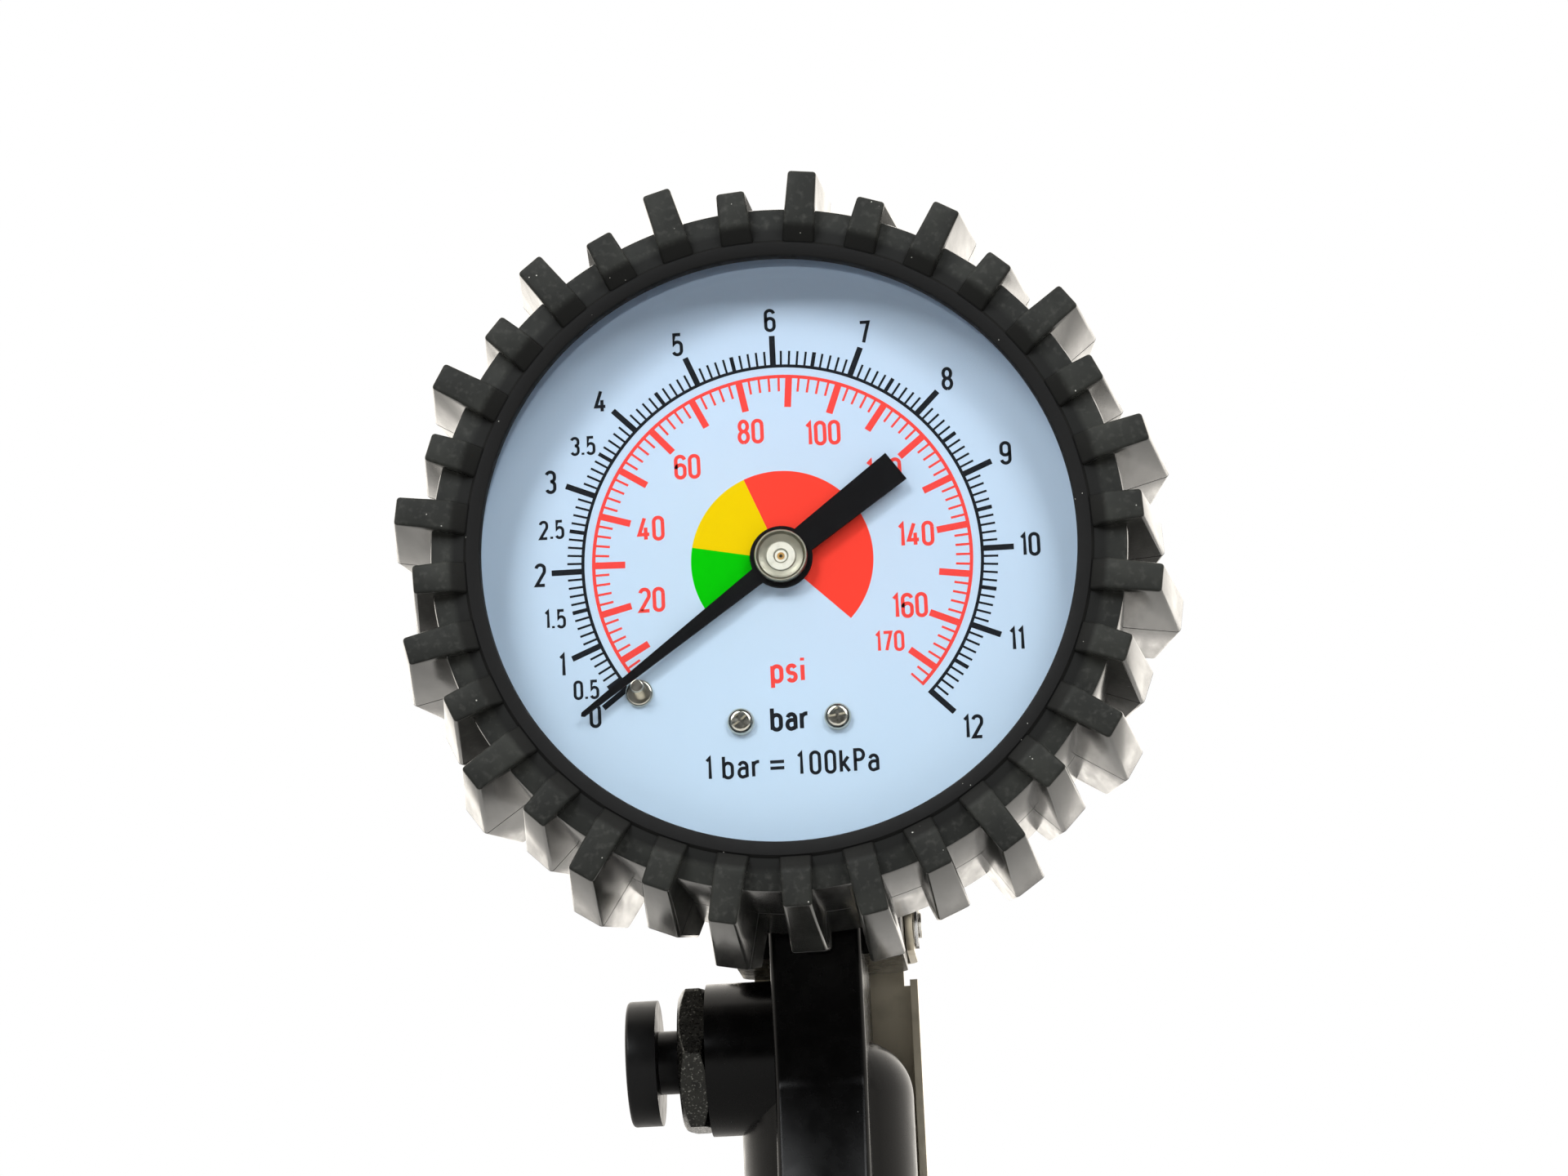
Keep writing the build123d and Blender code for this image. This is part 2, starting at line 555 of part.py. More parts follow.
with BuildPart() as handle_body:
    with BuildSketch(Plane.XY.offset(BARREL_BOTTOM)):
        Circle(BARREL_R)
    extrude(amount=BARREL_TOP - BARREL_BOTTOM)
    fillet(handle_body.edges().filter_by(GeomType.CIRCLE).group_by(Axis.Z)[-1], radius=7.5)
    add(rod(Plane.XY.offset(BARREL_BOTTOM), 12.4, 14))
    add(spine.part)
    with BuildSketch(Plane.XY.offset(149)):
        with Locations((0, 2.0)):
            RectangleRounded(2 * HEAD_X, 22, 3.0)
    extrude(amount=32)
    fillet(handle_body.faces().sort_by(Axis.Z)[-1].edges(), radius=2.0)
    add(rod(GAUGE_PORT, PORT_BOSS_R, 12))
    add(rod(HOSE_PORT, PORT_BOSS_R, 12))
    add(rod(BLEED_BORE, BLEED_BOSS_R, 16))
    add(rod(VALVE_BORE, VALVE_BOSS_R, 10))
    # inlet thread and bore
    add(rod(Plane.XY.offset(BARREL_BOTTOM), THREAD_R, 13), mode=Mode.SUBTRACT)
    add(rod(Plane.XY.offset(BARREL_BOTTOM), INLET_BORE_R, VALVE_Z - BARREL_BOTTOM), mode=Mode.SUBTRACT)
    # inlet valve: gland thread, then the poppet's chamber
    add(rod(VALVE_BORE, GLAND_R + 2 * RUN, VALVE_BORE_DEPTH), mode=Mode.SUBTRACT)
    # bleed valve: nut thread, then the chamber
    add(rod(BLEED_BORE, NUT_THREAD_R + 2 * RUN, 7), mode=Mode.SUBTRACT)
    add(rod(BLEED_BORE, BLEED_CHAMBER_R, BLEED_BORE_DEPTH), mode=Mode.SUBTRACT)
    # air passages from the valve to the bleed chamber and on to the two ports
    add(rod(Plane(origin=(0, 5.0, VALVE_Z)), PASSAGE_R, 16), mode=Mode.SUBTRACT)
    add(rod(Plane(origin=(0, -4.0, BLEED_Z)), PASSAGE_R, PORT_Z - BLEED_Z), mode=Mode.SUBTRACT)
    add(rod(GAUGE_PORT.offset(9.0), 2.5, 14), mode=Mode.SUBTRACT)
    add(rod(GAUGE_PORT, THREAD_R, 9.6), mode=Mode.SUBTRACT)
    add(rod(HOSE_PORT, THREAD_R, 11), mode=Mode.SUBTRACT)
    # lever pin hole
    add(rod(PIN_BORE, PIN_R + RUN, PIN_BORE_LENGTH), mode=Mode.SUBTRACT)
finish(handle_body.part, "handle_body")

# ---------------------------------------------------------------- bleed valve

BLEED = Plane(origin=(BLEED_FACE_X, BLEED_Y, BLEED_Z), x_dir=(0, 0, 1), z_dir=(-1, 0, 0))  # outwards
STEM_R = 4.1

NUT_FLAT_R, NUT_T = 8.95, 3.6      # half the width across flats, thickness

with BuildPart() as bleed_nut:
    with BuildSketch(BLEED):
        RegularPolygon(radius=NUT_FLAT_R, side_count=6, major_radius=False, rotation=30)
    extrude(amount=NUT_T)
    # both faces are chamfered on the lathe, which rounds the hexagon's corners off
    with BuildSketch(Plane(origin=BLEED.origin, x_dir=(0, 0, 1), z_dir=(0, -1, 0))):
        Polygon((0, 0), (9.3, 0), (10.3, 0.7), (10.3, NUT_T - 1.1), (8.5, NUT_T), (0, NUT_T), align=None)
    revolve(axis=Axis(BLEED.origin, (-1, 0, 0)), mode=Mode.INTERSECT)
    add(rod(BLEED.offset(-6.95), NUT_THREAD_R, 6.95))
    add(rod(BLEED.offset(-6.95), STEM_R + RUN + 0.02, 10.6), mode=Mode.SUBTRACT)
finish(bleed_nut.part, "bleed_nut")

with BuildPart() as bleed_button:
    add(rod(BLEED.offset(-7.0), STEM_R, 13.6))
    add(rod(BLEED.offset(6.5), 8.15, 3.9))
    fillet(bleed_button.edges().group_by(Axis.X)[0], radius=0.5)
    add(rod(BLEED.offset(-8.4), 3.0, 1.4))
finish(bleed_button.part, "bleed_button")

with BuildPart() as bleed_seal:
    add(rod(BLEED.offset(-8.4), 5.2, 1.4))
    add(rod(BLEED.offset(-8.4), 3.0, 1.4), mode=Mode.SUBTRACT)
finish(bleed_seal.part, "bleed_seal")

with BuildPart() as bleed_poppet:
    add(rod(BLEED.offset(-9.6), 5.2, 1.2))
    add(rod(BLEED.offset(-11.4), 2.4, 1.8))
finish(bleed_poppet.part, "bleed_poppet")

with BuildPart() as bleed_spring:
    add(coil(BLEED.offset(-16.3), 3.6, 0.35, 6.6, 4.5))
finish(bleed_spring.part, "bleed_spring")

# ---------------------------------------------------------------- inlet valve

VALVE = Plane(origin=(0, VALVE_FACE_Y, VALVE_Z), x_dir=(1, 0, 0), z_dir=(0, 1, 0))  # towards the lever
VALVE_PIN_R = 1.5

with BuildPart() as valve_gland:
    with BuildSketch(VALVE):
        RegularPolygon(radius=6.0, side_count=6, major_radius=False)
    extrude(amount=2.0)
    add(rod(VALVE.offset(-10.5), GLAND_R, 10.5))
    add(rod(VALVE.offset(-10.5), VALVE_PIN_R + RUN, 13.1), mode=Mode.SUBTRACT)
    add(rod(VALVE.offset(-10.5), 2.8, 5.5), mode=Mode.SUBTRACT)
    add(rod(VALVE.offset(0.8), 2.6, 1.2), mode=Mode.SUBTRACT)
    add(rod(Plane(origin=(0, 5.0, VALVE_Z - 5.2)), 1.4, 10.4), mode=Mode.SUBTRACT)
finish(valve_gland.part, "valve_gland")

with BuildPart() as valve_gland_ring:
    with BuildSketch(Plane(origin=(0, VALVE_FACE_Y, VALVE_Z), x_dir=(1, 0, 0), z_dir=(0, 0, 1))):
        with Locations((2.07, 1.4)):
            Circle(0.5)
    revolve(axis=Axis((0, 0, VALVE_Z), (0, 1, 0)))
finish(valve_gland_ring.part, "valve_gland_ring")

with BuildPart() as valve_pin:
    add(rod(VALVE.offset(-12.0), VALVE_PIN_R, 18.4))
    fillet(valve_pin.edges().group_by(Axis.Y)[-1], radius=1.2)
finish(valve_pin.part, "valve_pin")

with BuildPart() as valve_seal:
    add(rod(VALVE.offset(-12.0), 4.4, 1.45))
    add(rod(VALVE.offset(-12.0), VALVE_PIN_R, 1.45), mode=Mode.SUBTRACT)
finish(valve_seal.part, "valve_seal")

with BuildPart() as valve_poppet:
    add(rod(VALVE.offset(-13.2), 4.4, 1.2))
    add(rod(VALVE.offset(-15.0), 2.0, 1.8))
finish(valve_poppet.part, "valve_poppet")

with BuildPart() as valve_spring:
    add(coil(VALVE.offset(-20.4), 3.3, 0.35, 7.1, 3.5))
finish(valve_spring.part, "valve_spring")

# ---------------------------------------------------------------- trigger lever and its pin


def lever_outline():
    """Side outline of the lever, with its back open sheet still solid."""
    back = LEVER_Y + SHEET
    with BuildLine() as outline:
        Polyline((back, 116), (back, 158), (9, EAR_HIGH), (5, EAR_HIGH))
        ThreePointArc((5, EAR_HIGH), (1.2, PIVOT_Z + 0.6), (5, EAR_LOW))
        Polyline((5, EAR_LOW), (LEVER_Y - 1.5, EAR_LOW), (LEVER_Y - 1.5, FLANGE_TOP),
                 (FLANGE_Y, FLANGE_TOP), (FLANGE_Y, 118))
        Spline((FLANGE_Y, 118), (15.2, 96), (21.0, 72), (26.6, 48), tangents=((0, -1), (0.18, -1)))
        Line((26.6, 48), (back + 15.2, 45))
        Spline((back + 15.2, 45), (back + 10.8, 72), (back + 4.3, 96), (back, 116),
               tangents=((-0.10, 1), (0, 1)))
    return outline.line


with BuildPart() as trigger_lever:
    with BuildSketch(SIDE.offset(-LEVER_OUT)):
        add(lever_outline())
        make_face()
    extrude(amount=2 * LEVER_OUT)
    corners = trigger_lever.edges().filter_by(
        lambda e: e.center().Y > LEVER_Y and abs(abs(e.center().X) - LEVER_OUT) < 0.01)
    fillet(corners, radius=2.4)
    with BuildSketch(SIDE.offset(-LEVER_IN)):
        with BuildLine():
            Polyline((LEVER_Y, 116), (LEVER_Y, 165), (-5, 165), (-5, 30), (LEVER_Y + 16.2, 30),
                     (LEVER_Y + 15.2, 45))
            Spline((LEVER_Y + 15.2, 45), (LEVER_Y + 10.8, 72), (LEVER_Y + 4.3, 96), (LEVER_Y, 116),
                   tangents=((-0.10, 1), (0, 1)))
        make_face()
    extrude(amount=2 * LEVER_IN, mode=Mode.SUBTRACT)
    # relief notches between the ears and the flanges
    for side in (-1, 1):
        with BuildSketch(Plane.XY.offset(FLANGE_TOP)):
            with Locations((side * (LEVER_OUT - 0.5), LEVER_Y)):
                Rectangle(3.0, 6.0)
        extrude(amount=EAR_LOW - FLANGE_TOP, mode=Mode.SUBTRACT)
    add(rod(PIN_BORE, PIN_R + RUN, PIN_BORE_LENGTH), mode=Mode.SUBTRACT)
finish(trigger_lever.part, "trigger_lever")

PIN_SEAT = 0.05            # play between the flanges and the pin's head and clip
PIN_LENGTH = 2 * (LEVER_OUT + PIN_SEAT)
PIN_HEAD_R, PIN_HEAD_T = 3.4, 1.1
GROOVE_R = 1.6             # bottom of the groove for the clip
LEVER_PIN = Plane(origin=(LEVER_OUT + PIN_SEAT, PIVOT_Y, PIVOT_Z), x_dir=(0, 1, 0), z_dir=(1, 0, 0))
with BuildPart() as lever_pin:
    add(rod(LEVER_PIN.offset(-PIN_LENGTH - PIN_HEAD_T), PIN_HEAD_R, PIN_HEAD_T))
    fillet(lever_pin.edges().group_by(Axis.X)[0], radius=0.5)
    add(rod(LEVER_PIN.offset(-PIN_LENGTH), PIN_R, PIN_LENGTH + CLIP_T + 0.5))
    with BuildSketch(LEVER_PIN):
        Circle(PIN_HEAD_R)
        Circle(GROOVE_R, mode=Mode.SUBTRACT)
    extrude(amount=CLIP_T + 0.05, mode=Mode.SUBTRACT)
finish(lever_pin.part, "lever_pin")

with BuildPart() as pin_clip:
    with BuildSketch(LEVER_PIN.offset(0.02)):
        Circle(3.5)
        Circle(GROOVE_R + RUN, mode=Mode.SUBTRACT)
        with Locations((0, -2.5)):
            Rectangle(2.4, 3.4, mode=Mode.SUBTRACT)
        with Locations((2.2, 0.9), (-2.2, 0.9)):
            Circle(0.5, mode=Mode.SUBTRACT)
    extrude(amount=CLIP_T)
finish(pin_clip.part, "pin_clip")

# ---------------------------------------------------------------- air inlet nipple

with BuildPart() as inlet_nipple:
    with BuildSketch(Plane.XZ):
        Polygon((0, 0), (3.9, 0), (3.9, 8.0), (5.9, 9.6), (5.9, 12.6), (4.6, 14.0), (4.6, 17.2),
                (6.9, 19.2), (6.9, 20.4), (0, 20.4), align=None)
    revolve(axis=Axis.Z)
    with BuildSketch(Plane.XY.offset(20.4)):
        RegularPolygon(radius=8.5, side_count=6, major_radius=False)
    extrude(amount=6.0)
    add(rod(Plane.XY.offset(26.4), STEM_THREAD_R, 13.0))
    add(rod(Plane.XY, 2.6, 39.4), mode=Mode.SUBTRACT)
finish(inlet_nipple.part, "inlet_nipple")

with BuildPart() as inlet_washer:
    add(rod(Plane.XY.offset(26.4), 9.2, BARREL_BOTTOM - 26.4))
    add(rod(Plane.XY.offset(26.4), 6.55, BARREL_BOTTOM - 26.4), mode=Mode.SUBTRACT)
finish(inlet_washer.part, "inlet_washer")
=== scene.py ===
import json
from math import cos, radians, sin

import bmesh
import bpy
from mathutils import Matrix, Vector


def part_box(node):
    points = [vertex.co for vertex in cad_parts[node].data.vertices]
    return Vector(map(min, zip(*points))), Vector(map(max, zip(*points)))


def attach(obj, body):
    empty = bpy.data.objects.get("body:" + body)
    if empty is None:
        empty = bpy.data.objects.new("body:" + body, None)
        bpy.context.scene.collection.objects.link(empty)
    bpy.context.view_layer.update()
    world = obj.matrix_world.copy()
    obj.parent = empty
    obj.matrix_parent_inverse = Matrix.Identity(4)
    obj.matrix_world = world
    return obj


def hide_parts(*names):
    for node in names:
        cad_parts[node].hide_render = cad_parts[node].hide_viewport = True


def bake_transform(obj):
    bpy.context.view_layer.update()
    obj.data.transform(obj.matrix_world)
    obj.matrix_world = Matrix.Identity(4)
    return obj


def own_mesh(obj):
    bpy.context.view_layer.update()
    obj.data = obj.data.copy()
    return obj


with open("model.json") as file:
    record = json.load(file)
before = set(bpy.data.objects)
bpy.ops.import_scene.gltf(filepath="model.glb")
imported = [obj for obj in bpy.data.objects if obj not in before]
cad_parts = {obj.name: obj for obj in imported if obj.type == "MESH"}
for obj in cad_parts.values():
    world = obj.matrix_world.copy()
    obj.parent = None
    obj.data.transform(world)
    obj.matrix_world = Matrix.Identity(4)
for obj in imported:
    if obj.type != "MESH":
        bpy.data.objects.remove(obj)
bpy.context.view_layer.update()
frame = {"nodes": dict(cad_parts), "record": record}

MM = 0.001
NODES = frame["nodes"]

# ---------------------------------------------------------------- the dial's own frame

DIAL_LOW, DIAL_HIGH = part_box("dial_plate")
DIAL_X = (DIAL_LOW[0] + DIAL_HIGH[0]) / 2
DIAL_Y = DIAL_LOW[1]
DIAL_Z = (DIAL_LOW[2] + DIAL_HIGH[2]) / 2
BOOT_LOW, BOOT_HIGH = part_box("gauge_boot")
BOOT_MID_Y = (BOOT_LOW[1] + BOOT_HIGH[1]) / 2


def on_dial(x, v, h):
    """Row-frame point for millimetres right, up and towards the viewer from the dial's centre."""
    return Vector((DIAL_X + x * MM, DIAL_Y - h * MM, DIAL_Z + v * MM))


def across_dial(point):
    """Distance of a point from the gauge's axis."""
    return ((point[0] - DIAL_X) ** 2 + (point[2] - DIAL_Z) ** 2) ** 0.5


def polar(radius, angle):
    """Millimetres right and up for a radius and an angle in degrees on the dial."""
    return (radius * cos(radians(angle)), radius * sin(radians(angle)))


# ---------------------------------------------------------------- materials

# Distances from the gauge's axis where the rubber's painted shade lifts: from the ring to the step,
# and from there to the lugs.
STEP_EDGE = (37.7 * MM, 38.2 * MM)
LUG_EDGE = (39.3 * MM, 40.1 * MM)
MOULD_LINE = (0.10 * MM, 0.22 * MM)     # soft edge of the parting line, from its middle
LINE_DEPTH_MM = 0.15
DUST_SHARE = 0.6
CAP_FLAT = (1.72 * MM, 1.86 * MM)       # edge of the flat in the middle of the pointer's cap
SHAFT_HOLE_SHADE = (0.16 * MM, 0.26 * MM)     # edge of the painted shade of a hole in the middle of the pinion shaft
SHAFT_RING = (0.42 * MM, 0.52 * MM)     # outer edge of the brass ring round that mark
FROSTED_NICKEL = (0.66, 0.65, 0.55)
MOULD_BLACK = (0.001, 0.001, 0.001)
FROSTED_ROUGH = 0.16                    # how much rougher the cap's flat is than its rim
# Heights between which painted shade of the rim darkens the dial towards its top.
DIAL_RIM_SHADE = (DIAL_Z - 0.030, DIAL_Z + 0.040)
NOISE_SPAN = (0.3, 0.7)                 # most of a noise lies between these


class Paint:
    """A node material whose grain is set in millimetres."""

    def __init__(self, name, colour, rough, metallic=0.0, gloss=None):
        self.material = bpy.data.materials.new(name)
        self.material.use_nodes = True
        self.tree = self.material.node_tree
        self.shader = self.tree.nodes["Principled BSDF"]
        self.shader.inputs["Metallic"].default_value = metallic
        self.shader.inputs["Base Color"].default_value = (*colour, 1)
        self.shader.inputs["Roughness"].default_value = rough
        if gloss is not None:
            self.shader.inputs["Specular IOR Level"].default_value = gloss
        self.where = self.node("ShaderNodeTexCoord").outputs["Object"]
        self.colour = None
        self.height = None

    def node(self, kind, **values):
        """A new node with these settings."""
        made = self.tree.nodes.new(kind)
        for key, value in values.items():
            setattr(made, key, value)
        return made

    def link(self, output, socket):
        """Joins an output to an input."""
        self.tree.links.new(output, socket)

    def noise(self, size_mm, detail, stretch=(1, 1, 1)):
        """Noise from 0 to 1 whose features are about size_mm across."""
        made = self.node("ShaderNodeTexNoise")
        made.inputs["Scale"].default_value = 1 / (size_mm * MM)
        made.inputs["Detail"].default_value = detail
        place = self.node("ShaderNodeMapping")
        place.inputs["Scale"].default_value = stretch
        self.link(self.where, place.inputs["Vector"])
        self.link(place.outputs["Vector"], made.inputs["Vector"])
        return made.outputs["Fac"]

    def ramp(self, factor, low, high, start=0.0, end=1.0):
        """Maps factor from low..high to start..end."""
        made = self.node("ShaderNodeMapRange")
        made.inputs["From Min"].default_value = low
        made.inputs["From Max"].default_value = high
        made.inputs["To Min"].default_value = start
        made.inputs["To Max"].default_value = end
        self.link(factor, made.inputs["Value"])
        return made.outputs["Result"]

    def math(self, operation, a, b=0):
        """One arithmetic step; each side is a number or an output."""
        made = self.node("ShaderNodeMath", operation=operation)
        for value, socket in ((a, made.inputs[0]), (b, made.inputs[1])):
            if isinstance(value, (int, float)):
                socket.default_value = value
            else:
                self.link(value, socket)
        return made.outputs["Value"]

    def tint(self, factor, colour):
        """Mixes a colour into the base colour where factor is 1."""
        made = self.node("ShaderNodeMix", data_type="RGBA")
        self.link(factor, made.inputs["Factor"])
        if self.colour is None:
            made.inputs["A"].default_value = self.shader.inputs["Base Color"].default_value
        else:
            self.link(self.colour, made.inputs["A"])
        made.inputs["B"].default_value = (*colour, 1)
        self.colour = made.outputs["Result"]
        self.link(self.colour, self.shader.inputs["Base Color"])

    def cloud(self, size_mm, detail, low, high, share, colour):
        """Mixes in a share of a colour where a noise goes from low to high."""
        self.tint(self.ramp(self.noise(size_mm, detail), low, high, 0.0, share), colour)

    def roughness(self, factor, low, high):
        """Lets a noise vary the roughness from low to high."""
        self.link(self.ramp(factor, *NOISE_SPAN, low, high), self.shader.inputs["Roughness"])

    def bump(self, height, depth_mm):
        """Adds relief; several calls add up."""
        made = self.node("ShaderNodeBump")
        made.inputs["Distance"].default_value = depth_mm * MM
        self.link(height, made.inputs["Height"])
        if self.height is not None:
            self.link(self.height, made.inputs["Normal"])
        self.height = made.outputs["Normal"]
        self.link(self.height, self.shader.inputs["Normal"])

    def specks(self, cell_mm, share, colour, reach):
        """Small dust marks: one in some of the cells of a random pattern."""
        cells = self.node("ShaderNodeTexVoronoi")
        cells.inputs["Scale"].default_value = 1 / (cell_mm * MM)
        self.link(self.where, cells.inputs["Vector"])
        chosen = self.node("ShaderNodeSeparateColor")
        self.link(cells.outputs["Color"], chosen.inputs["Color"])
        lucky = self.math("LESS_THAN", chosen.outputs["Red"], share)
        reach_here = self.math("MULTIPLY", chosen.outputs["Green"], reach)
        near = self.math("LESS_THAN", cells.outputs["Distance"], reach_here)
        self.tint(self.math("MULTIPLY", lucky, near), colour)

    def along(self, axis):
        """One coordinate of the row frame, in metres."""
        made = self.node("ShaderNodeSeparateXYZ")
        self.link(self.where, made.inputs["Vector"])
        return made.outputs[axis]

    def across(self):
        """Distance from the gauge's axis, in metres."""
        x = self.along("X")
        z = self.math("SUBTRACT", self.along("Z"), DIAL_Z)
        square = self.math("ADD", self.math("MULTIPLY", z, z), self.math("MULTIPLY", x, x))
        return self.math("SQRT", square)


def times(colour, share):
    """The same colour, lighter or darker."""
    return tuple(channel * share for channel in colour)


def boot_rubber(name, gloss, rough, grain):
    """Black rubber: darker on the inner ring and the step as painted shade, dusty on the lugs, with
    a moulding line half way.
    """
    paint = Paint(name, (0.0035, 0.0035, 0.0035), rough, gloss=gloss)
    radius = paint.across()
    # Painted shade: the inner ring stays darkest, the step a little lighter and the lugs lightest.
    paint.tint(paint.ramp(radius, *STEP_EDGE), (0.0052, 0.0054, 0.0050))
    outside = paint.ramp(radius, *LUG_EDGE)
    paint.tint(outside, (0.0100, 0.0106, 0.0096))
    for size_mm, detail, low, high, dust in ((7, 4, 0.42, 0.72, (0.024, 0.025, 0.022)),
                                             (0.8, 6, 0.52, 0.80, (0.036, 0.036, 0.033))):
        patches = paint.ramp(paint.noise(size_mm, detail), low, high)
        share = paint.math("MULTIPLY", patches, DUST_SHARE)
        paint.tint(paint.math("MULTIPLY", outside, share), dust)
    away = paint.math("ABSOLUTE", paint.math("SUBTRACT", paint.along("Y"), BOOT_MID_Y))
    line = paint.ramp(away, *MOULD_LINE, 1.0, 0.0)
    paint.tint(line, MOULD_BLACK)
    paint.specks(2.4, 0.20, (0.26, 0.26, 0.24), 0.05)
    paint.specks(0.9, 0.16, (0.24, 0.24, 0.22), 0.10)
    mottle = paint.ramp(paint.noise(1.8, 4, (1, 0.2, 1)), *NOISE_SPAN, rough - 0.04, rough + 0.05)
    paint.link(paint.math("MAXIMUM", mottle, line), paint.shader.inputs["Roughness"])
    paint.bump(paint.noise(0.45, 4), grain)
    paint.bump(paint.noise(6.0, 2), 0.008)
    paint.bump(paint.math("SUBTRACT", 1.0, line), LINE_DEPTH_MM)
    return paint.material


def satin_black(name, level, rough, gloss):
    """Black paint with a faint cloudiness, a slight orange peel and grains of dust."""
    paint = Paint(name, (level, level, level * 1.05), rough, gloss=gloss)
    paint.cloud(6, 3, 0.45, 0.75, 0.5, (level * 1.5, level * 1.5, level * 1.5))
    paint.specks(4.2, 0.22, (0.42, 0.42, 0.40), 0.026)
    paint.specks(1.6, 0.05, (0.12, 0.12, 0.12), 0.04)
    paint.roughness(paint.noise(2.2, 4), rough - 0.04, rough + 0.06)
    paint.bump(paint.noise(0.6, 3), 0.0008)
    paint.bump(paint.noise(5.0, 2), 0.0025)
    return paint.material


def plated(name, colour, rough, depth=0.002, stretch=(1, 1, 1), stain=0.35):
    """Nickel or chrome with faint stains, and fine scratches along one direction."""
    paint = Paint(name, colour, rough, 1.0)
    paint.cloud(4.0, 5, 0.5, 0.8, stain, times(colour, 0.55))
    paint.roughness(paint.noise(0.9, 5, stretch), rough - 0.03, rough + 0.07)
    paint.bump(paint.noise(0.4, 3, stretch), depth)
    return paint.material


def cap_nickel():
    """The pointer's cap: bright rim and slope coloured darker as painted shade, frosted flat in the
    middle.
    """
    # Painted shade: the rim and slope get a dark olive colour; the flat is tinted back to nickel.
    paint = Paint("cap_nickel", (0.27, 0.26, 0.20), 0.3, 1.0)
    flat_part = paint.ramp(paint.across(), *CAP_FLAT, 1.0, 0.0)
    paint.tint(flat_part, FROSTED_NICKEL)
    paint.cloud(0.8, 5, 0.5, 0.8, 0.35, (0.20, 0.19, 0.14))
    rough = paint.math("ADD", paint.math("MULTIPLY", flat_part, FROSTED_ROUGH),
                       paint.ramp(paint.noise(0.5, 4), *NOISE_SPAN, 0.34, 0.46))
    paint.link(rough, paint.shader.inputs["Roughness"])
    paint.bump(paint.noise(0.3, 4), 0.003)
    return paint.material


def shaft_end():
    """The pinion shaft: nickel like the cap round its end, a brass ring and a dark centre that is
    painted shade of a hole.
    """
    # Painted shade: the very dark base colour stands for the hole in the middle of the shaft's end.
    paint = Paint("shaft_end", (0.012, 0.010, 0.008), 0.5, 1.0)
    radius = paint.across()
    paint.tint(paint.ramp(radius, *SHAFT_HOLE_SHADE), (0.42, 0.24, 0.07))
    paint.tint(paint.ramp(radius, *SHAFT_RING), FROSTED_NICKEL)
    paint.cloud(0.6, 5, 0.5, 0.8, 0.3, (0.26, 0.25, 0.19))
    paint.roughness(paint.noise(0.4, 4), 0.46, 0.58)
    paint.bump(paint.noise(0.3, 4), 0.003)
    return paint.material


def forged_chrome():
    """Dark chrome over a roughly machined nut."""
    paint = Paint("dark_chrome", (0.028, 0.028, 0.026), 0.26, 1.0)
    paint.cloud(1.2, 5, 0.5, 0.75, 0.8, (0.016, 0.016, 0.016))
    paint.cloud(0.30, 5, 0.58, 0.72, 0.8, (0.20, 0.20, 0.185))
    paint.roughness(paint.noise(0.4, 4), 0.20, 0.42)
    paint.bump(paint.noise(0.28, 5, (3, 1, 1)), 0.035)
    paint.bump(paint.noise(2.2, 3), 0.06)
    return paint.material


def turned_brass(name, colour):
    """Brass or bronze with darker stains."""
    paint = Paint(name, colour, 0.30, 1.0)
    paint.cloud(2.0, 5, 0.5, 0.8, 0.7, times(colour, 0.6))
    paint.roughness(paint.noise(0.6, 4), 0.26, 0.42)
    paint.bump(paint.noise(0.2, 3), 0.004)
    return paint.material


def soft_black(name, rough):
    """Matt black rubber or plastic with dust on it."""
    paint = Paint(name, (0.022, 0.022, 0.021), rough)
    paint.cloud(2.5, 4, 0.45, 0.75, 0.6, (0.040, 0.040, 0.038))
    paint.specks(3.0, 0.15, (0.30, 0.30, 0.28), 0.04)
    paint.roughness(paint.noise(1.2, 4), rough - 0.06, rough + 0.08)
    paint.bump(paint.noise(0.3, 4), 0.010)
    return paint.material


def dial_enamel():
    """The dial's pale blue face, with painted shade of the rim making it a little deeper towards
    the top.
    """
    paint = Paint("dial_enamel", (0.57, 0.71, 0.815), 0.5, gloss=0.08)
    # Painted shade: the rim's shadow, a darker blue towards the top of the dial.
    rim_shade = paint.ramp(paint.along("Z"), *DIAL_RIM_SHADE, 0.0, 0.6)
    paint.tint(rim_shade, (0.54, 0.66, 0.80))
    paint.cloud(14, 3, 0.4, 0.7, 0.2, (0.60, 0.73, 0.83))
    paint.specks(7.0, 0.10, (0.35, 0.42, 0.50), 0.022)
    paint.roughness(paint.noise(3.0, 3), 0.44, 0.54)
    paint.bump(paint.noise(0.6, 3), 0.002)
    return paint.material


def ink(name, colour):
    """Printing ink, slightly uneven."""
    paint = Paint(name, colour, 0.45, gloss=0.02)
    paint.cloud(0.5, 4, 0.55, 0.9, 0.25, tuple(channel * 0.8 + 0.01 for channel in colour))
    paint.roughness(paint.noise(0.8, 3), 0.40, 0.52)
    return paint.material


def clear_plastic():
    """Clear plastic from outside: what is behind it, with a reflection that grows at a slant."""
    paint = Paint("clear_plastic", (0.96, 0.97, 1.0), 0.03, 1.0)
    paint.roughness(paint.noise(6.0, 3), 0.02, 0.06)
    through = paint.node("ShaderNodeBsdfTransparent")
    through.inputs["Color"].default_value = (0.985, 0.988, 0.995, 1)
    slant = paint.node("ShaderNodeFresnel")
    slant.inputs["IOR"].default_value = 1.45
    blend = paint.node("ShaderNodeMixShader")
    paint.link(slant.outputs["Fac"], blend.inputs["Fac"])
    paint.link(through.outputs["BSDF"], blend.inputs[1])
    paint.link(paint.shader.outputs["BSDF"], blend.inputs[2])
    paint.link(blend.outputs["Shader"], paint.tree.nodes["Material Output"].inputs["Surface"])
    return paint.material


def pale_stage(name, level):
    """The matt, nearly white surface of the stage."""
    paint = Paint(name, (level, level, level), 0.8)
    paint.cloud(40, 3, 0.4, 0.8, 0.15, (level * 0.96, level * 0.96, level * 0.95))
    return paint.material


